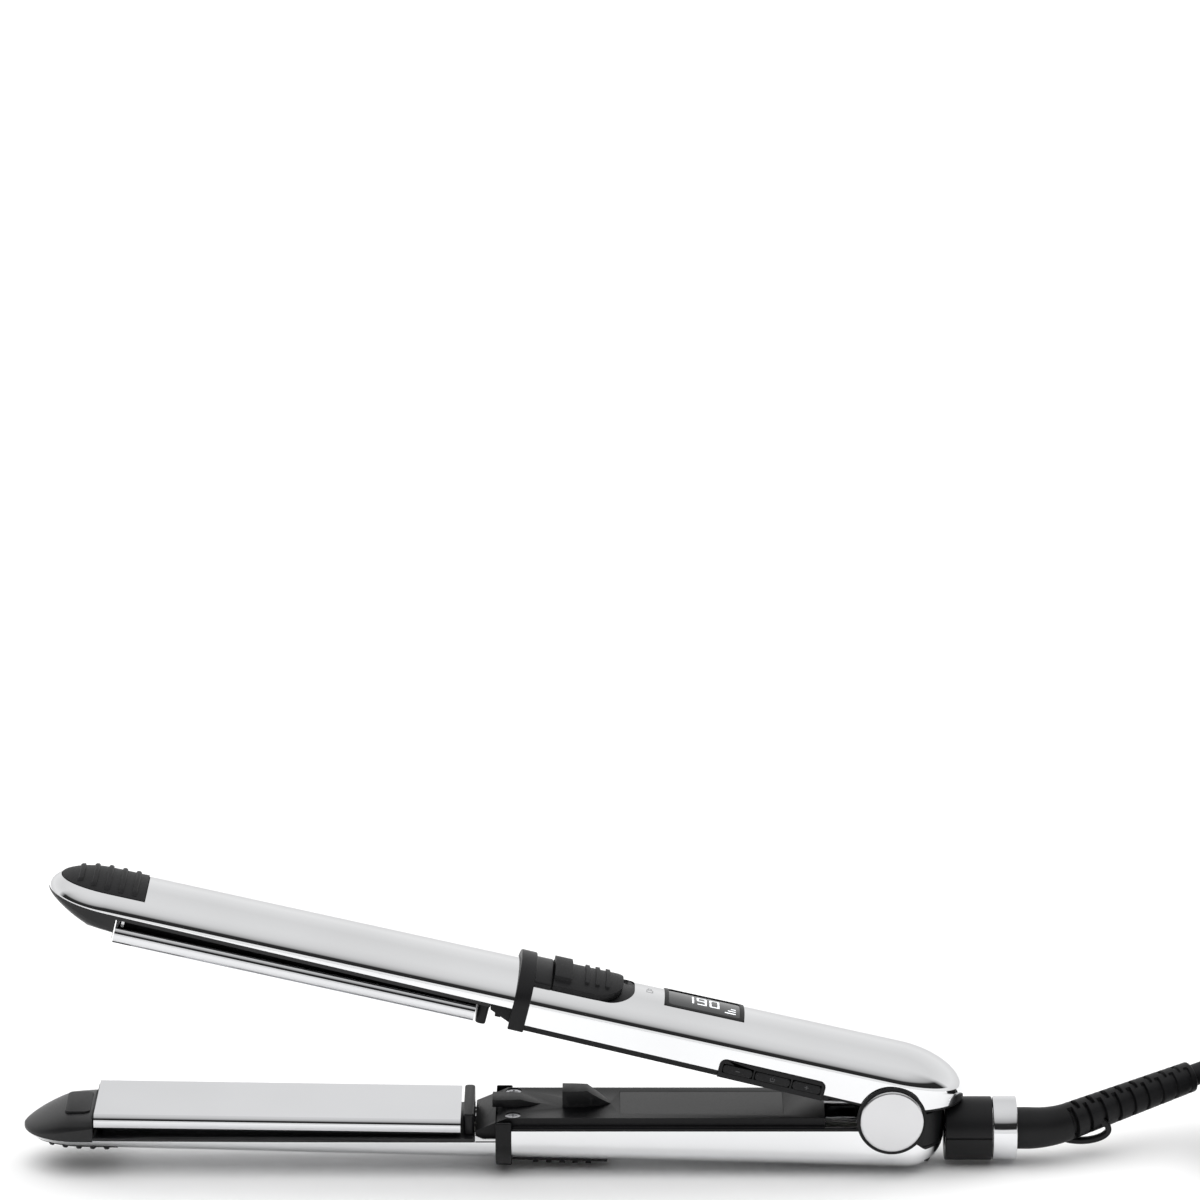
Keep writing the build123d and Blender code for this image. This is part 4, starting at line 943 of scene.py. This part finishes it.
def print_on(name, strokes, target, place, body, finish, from_side=False):
    """Lays rectangles on the target's surface, seen from above or, for the buttons, from the near side."""
    surface = bmesh.new()
    surface.from_mesh(target.data)
    bmesh.ops.transform(surface, matrix=place.inverted(), verts=surface.verts[:])
    tree = BVHTree.FromBMesh(surface)
    toward = Vector((0, 1, 0)) if from_side else Vector((0, 0, -1))
    shape = bmesh.new()
    for left, bottom, right, top in strokes:
        grid = []
        for column in range(4):
            line = []
            for row in range(4):
                across, up = left + (right - left) * column / 3, bottom + (top - bottom) * row / 3
                start = Vector((across, -60.0, up)) if from_side else Vector((across, up, 60.0))
                hit = tree.ray_cast(start * MM, toward)[0]
                if hit is None:
                    raise RuntimeError(name + " misses its surface")
                line.append(shape.verts.new(hit - toward * PRINT_LIFT * MM))
            grid.append(line)
        for column in range(3):
            for row in range(3):
                shape.faces.new((grid[column][row], grid[column + 1][row], grid[column + 1][row + 1],
                                 grid[column][row + 1]))
    surface.free()
    mesh = bpy.data.meshes.new(name)
    shape.to_mesh(mesh)
    shape.free()
    mesh.transform(place)
    piece = bpy.data.objects.new(name, mesh)
    bpy.context.scene.collection.objects.link(piece)
    face_outward(piece)
    piece.data.materials.append(finish[0])
    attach(piece, body)
    return piece


digits = []
for place_in_row, sign in enumerate("190"):
    digits += digit(sign, -65.4 + 3.75 * place_in_row, -2.6, 2.9, 5.6, 0.55)
bars = [(-53.4 + 0.9 * step, -4.2 + 1.45 * step, -50.2, -3.65 + 1.45 * step) for step in range(3)]
print_on("display_digits", digits + bars, nodes["display_lens"], UPPER, "upper_arm", LIT)
padlock = [(-76.6, -2.0, -74.6, -1.75), (-76.6, -0.45, -74.6, -0.2), (-76.6, -1.75, -76.35, -0.45),
           (-74.85, -1.75, -74.6, -0.45), (-76.2, -0.2, -75.95, 0.75), (-75.25, -0.2, -75.0, 0.75),
           (-76.2, 0.75, -75.0, 1.0)]
print_on("lock_mark", padlock, upper_chrome, UPPER, "upper_arm", PRINT)
for sign in ("minus", "power", "plus"):
    button = made_soft["button_" + sign]
    corners = [UPPER.inverted() @ vertex.co for vertex in button.data.vertices]
    across = sum(corner.x for corner in corners) / len(corners) / MM
    up = 3.9
    strokes = [(across - 0.6, up - 0.12, across + 0.6, up + 0.12)]
    if sign == "plus":
        strokes += [(across - 0.12, up + 0.12, across + 0.12, up + 0.6),
                    (across - 0.12, up - 0.6, across + 0.12, up - 0.12)]
    if sign == "power":
        strokes = [(across - 0.1, up + 0.1, across + 0.1, up + 0.75),
                   (across - 0.55, up - 0.6, across + 0.55, up - 0.4),
                   (across - 0.65, up - 0.5, across - 0.45, up + 0.4),
                   (across + 0.45, up - 0.5, across + 0.65, up + 0.4)]
    print_on(sign + "_sign", strokes, button, UPPER, body_of_node["button_" + sign], FAINT,
             from_side=True)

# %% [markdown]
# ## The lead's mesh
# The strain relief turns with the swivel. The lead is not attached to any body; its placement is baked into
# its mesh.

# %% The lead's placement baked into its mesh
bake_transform(mains_lead)

# %% [markdown]
# ## Table and light
# A pale seamless table and a soft studio all round. A dark screen above the camera side gives the chrome
# the long dark band that runs down each arm.

# %% Table
bpy.context.scene.view_settings.view_transform = "Standard"
bpy.ops.object.select_all(action="DESELECT")
bpy.ops.mesh.primitive_plane_add(size=8.0, location=(0, 0, -0.0002))
table = bpy.context.active_object
table.name = "table"
table_material, tree, shader = new_finish("table_white", Roughness=0.9)
tree.links.new(two_tones(tree, noise(tree, object_place(tree), 3.0), (0.86, 0.86, 0.86), (0.88, 0.88, 0.88)),
               shader.inputs["Base Color"])
shader.inputs["Specular IOR Level"].default_value = 0.1
table.data.materials.append(table_material)

# %% World
world = bpy.data.worlds.new("studio")
bpy.context.scene.world = world
world.use_nodes = True
tree = world.node_tree
coordinates = tree.nodes.new("ShaderNodeTexCoord")
split = tree.nodes.new("ShaderNodeSeparateXYZ")
tree.links.new(coordinates.outputs["Generated"], split.inputs["Vector"])


def sky_ramp(steps):
    """Brightness by height in the sky: -1 is straight down, 0 the horizon, 1 straight up."""
    height = tree.nodes.new("ShaderNodeMapRange")
    height.inputs["From Min"].default_value = -1.0
    tree.links.new(split.outputs["Z"], height.inputs["Value"])
    ramp = tree.nodes.new("ShaderNodeValToRGB")
    elements = ramp.color_ramp.elements
    for element, (position, level) in zip(elements, (steps[0], steps[-1])):
        element.position = (position + 1) / 2
        element.color = (level, level, level, 1)
    for position, level in steps[1:-1]:
        elements.new((position + 1) / 2).color = (level, level, level, 1)
    tree.links.new(height.outputs["Result"], ramp.inputs["Fac"])
    return ramp.outputs["Color"]


screen_side = sky_ramp([(-1.0, 0.62), (-0.12, 0.66), (-0.04, 0.60), (0.0, 0.92), (0.21, 1.0), (0.245, 0.02),
                        (0.56, 0.03), (0.64, 0.42), (0.85, 0.72), (1.0, 0.86)])
back_side = sky_ramp([(-1.0, 0.62), (-0.02, 0.70), (0.02, 0.80), (0.30, 0.93), (0.70, 0.80), (1.0, 0.86)])
facing = tree.nodes.new("ShaderNodeMapRange")
facing.inputs["From Min"].default_value = -0.12
facing.inputs["From Max"].default_value = 0.12
tree.links.new(split.outputs["Y"], facing.inputs["Value"])
mix = tree.nodes.new("ShaderNodeMix")
mix.data_type = "RGBA"
tree.links.new(facing.outputs["Result"], mix.inputs["Factor"])
tree.links.new(screen_side, mix.inputs["A"])
tree.links.new(back_side, mix.inputs["B"])
background = tree.nodes["Background"]
tree.links.new(mix.outputs["Result"], background.inputs["Color"])
print("studio nodes:", len(tree.nodes))


# %% Soft boxes
def soft_box(name, place, aim, size, power):
    data = bpy.data.lights.new(name, "AREA")
    data.shape = "RECTANGLE"
    data.size, data.size_y = size
    data.energy = power
    light = bpy.data.objects.new(name, data)
    light.location = place
    light.rotation_euler = (Vector(aim) - Vector(place)).to_track_quat("-Z", "Y").to_euler()
    bpy.context.scene.collection.objects.link(light)
    return light


table_light = soft_box("overhead_light", (0.0, 0.1, 2.2), (0.02, 0.1, 0.0), (5.0, 5.0), 96.0)
table_light.visible_glossy = False
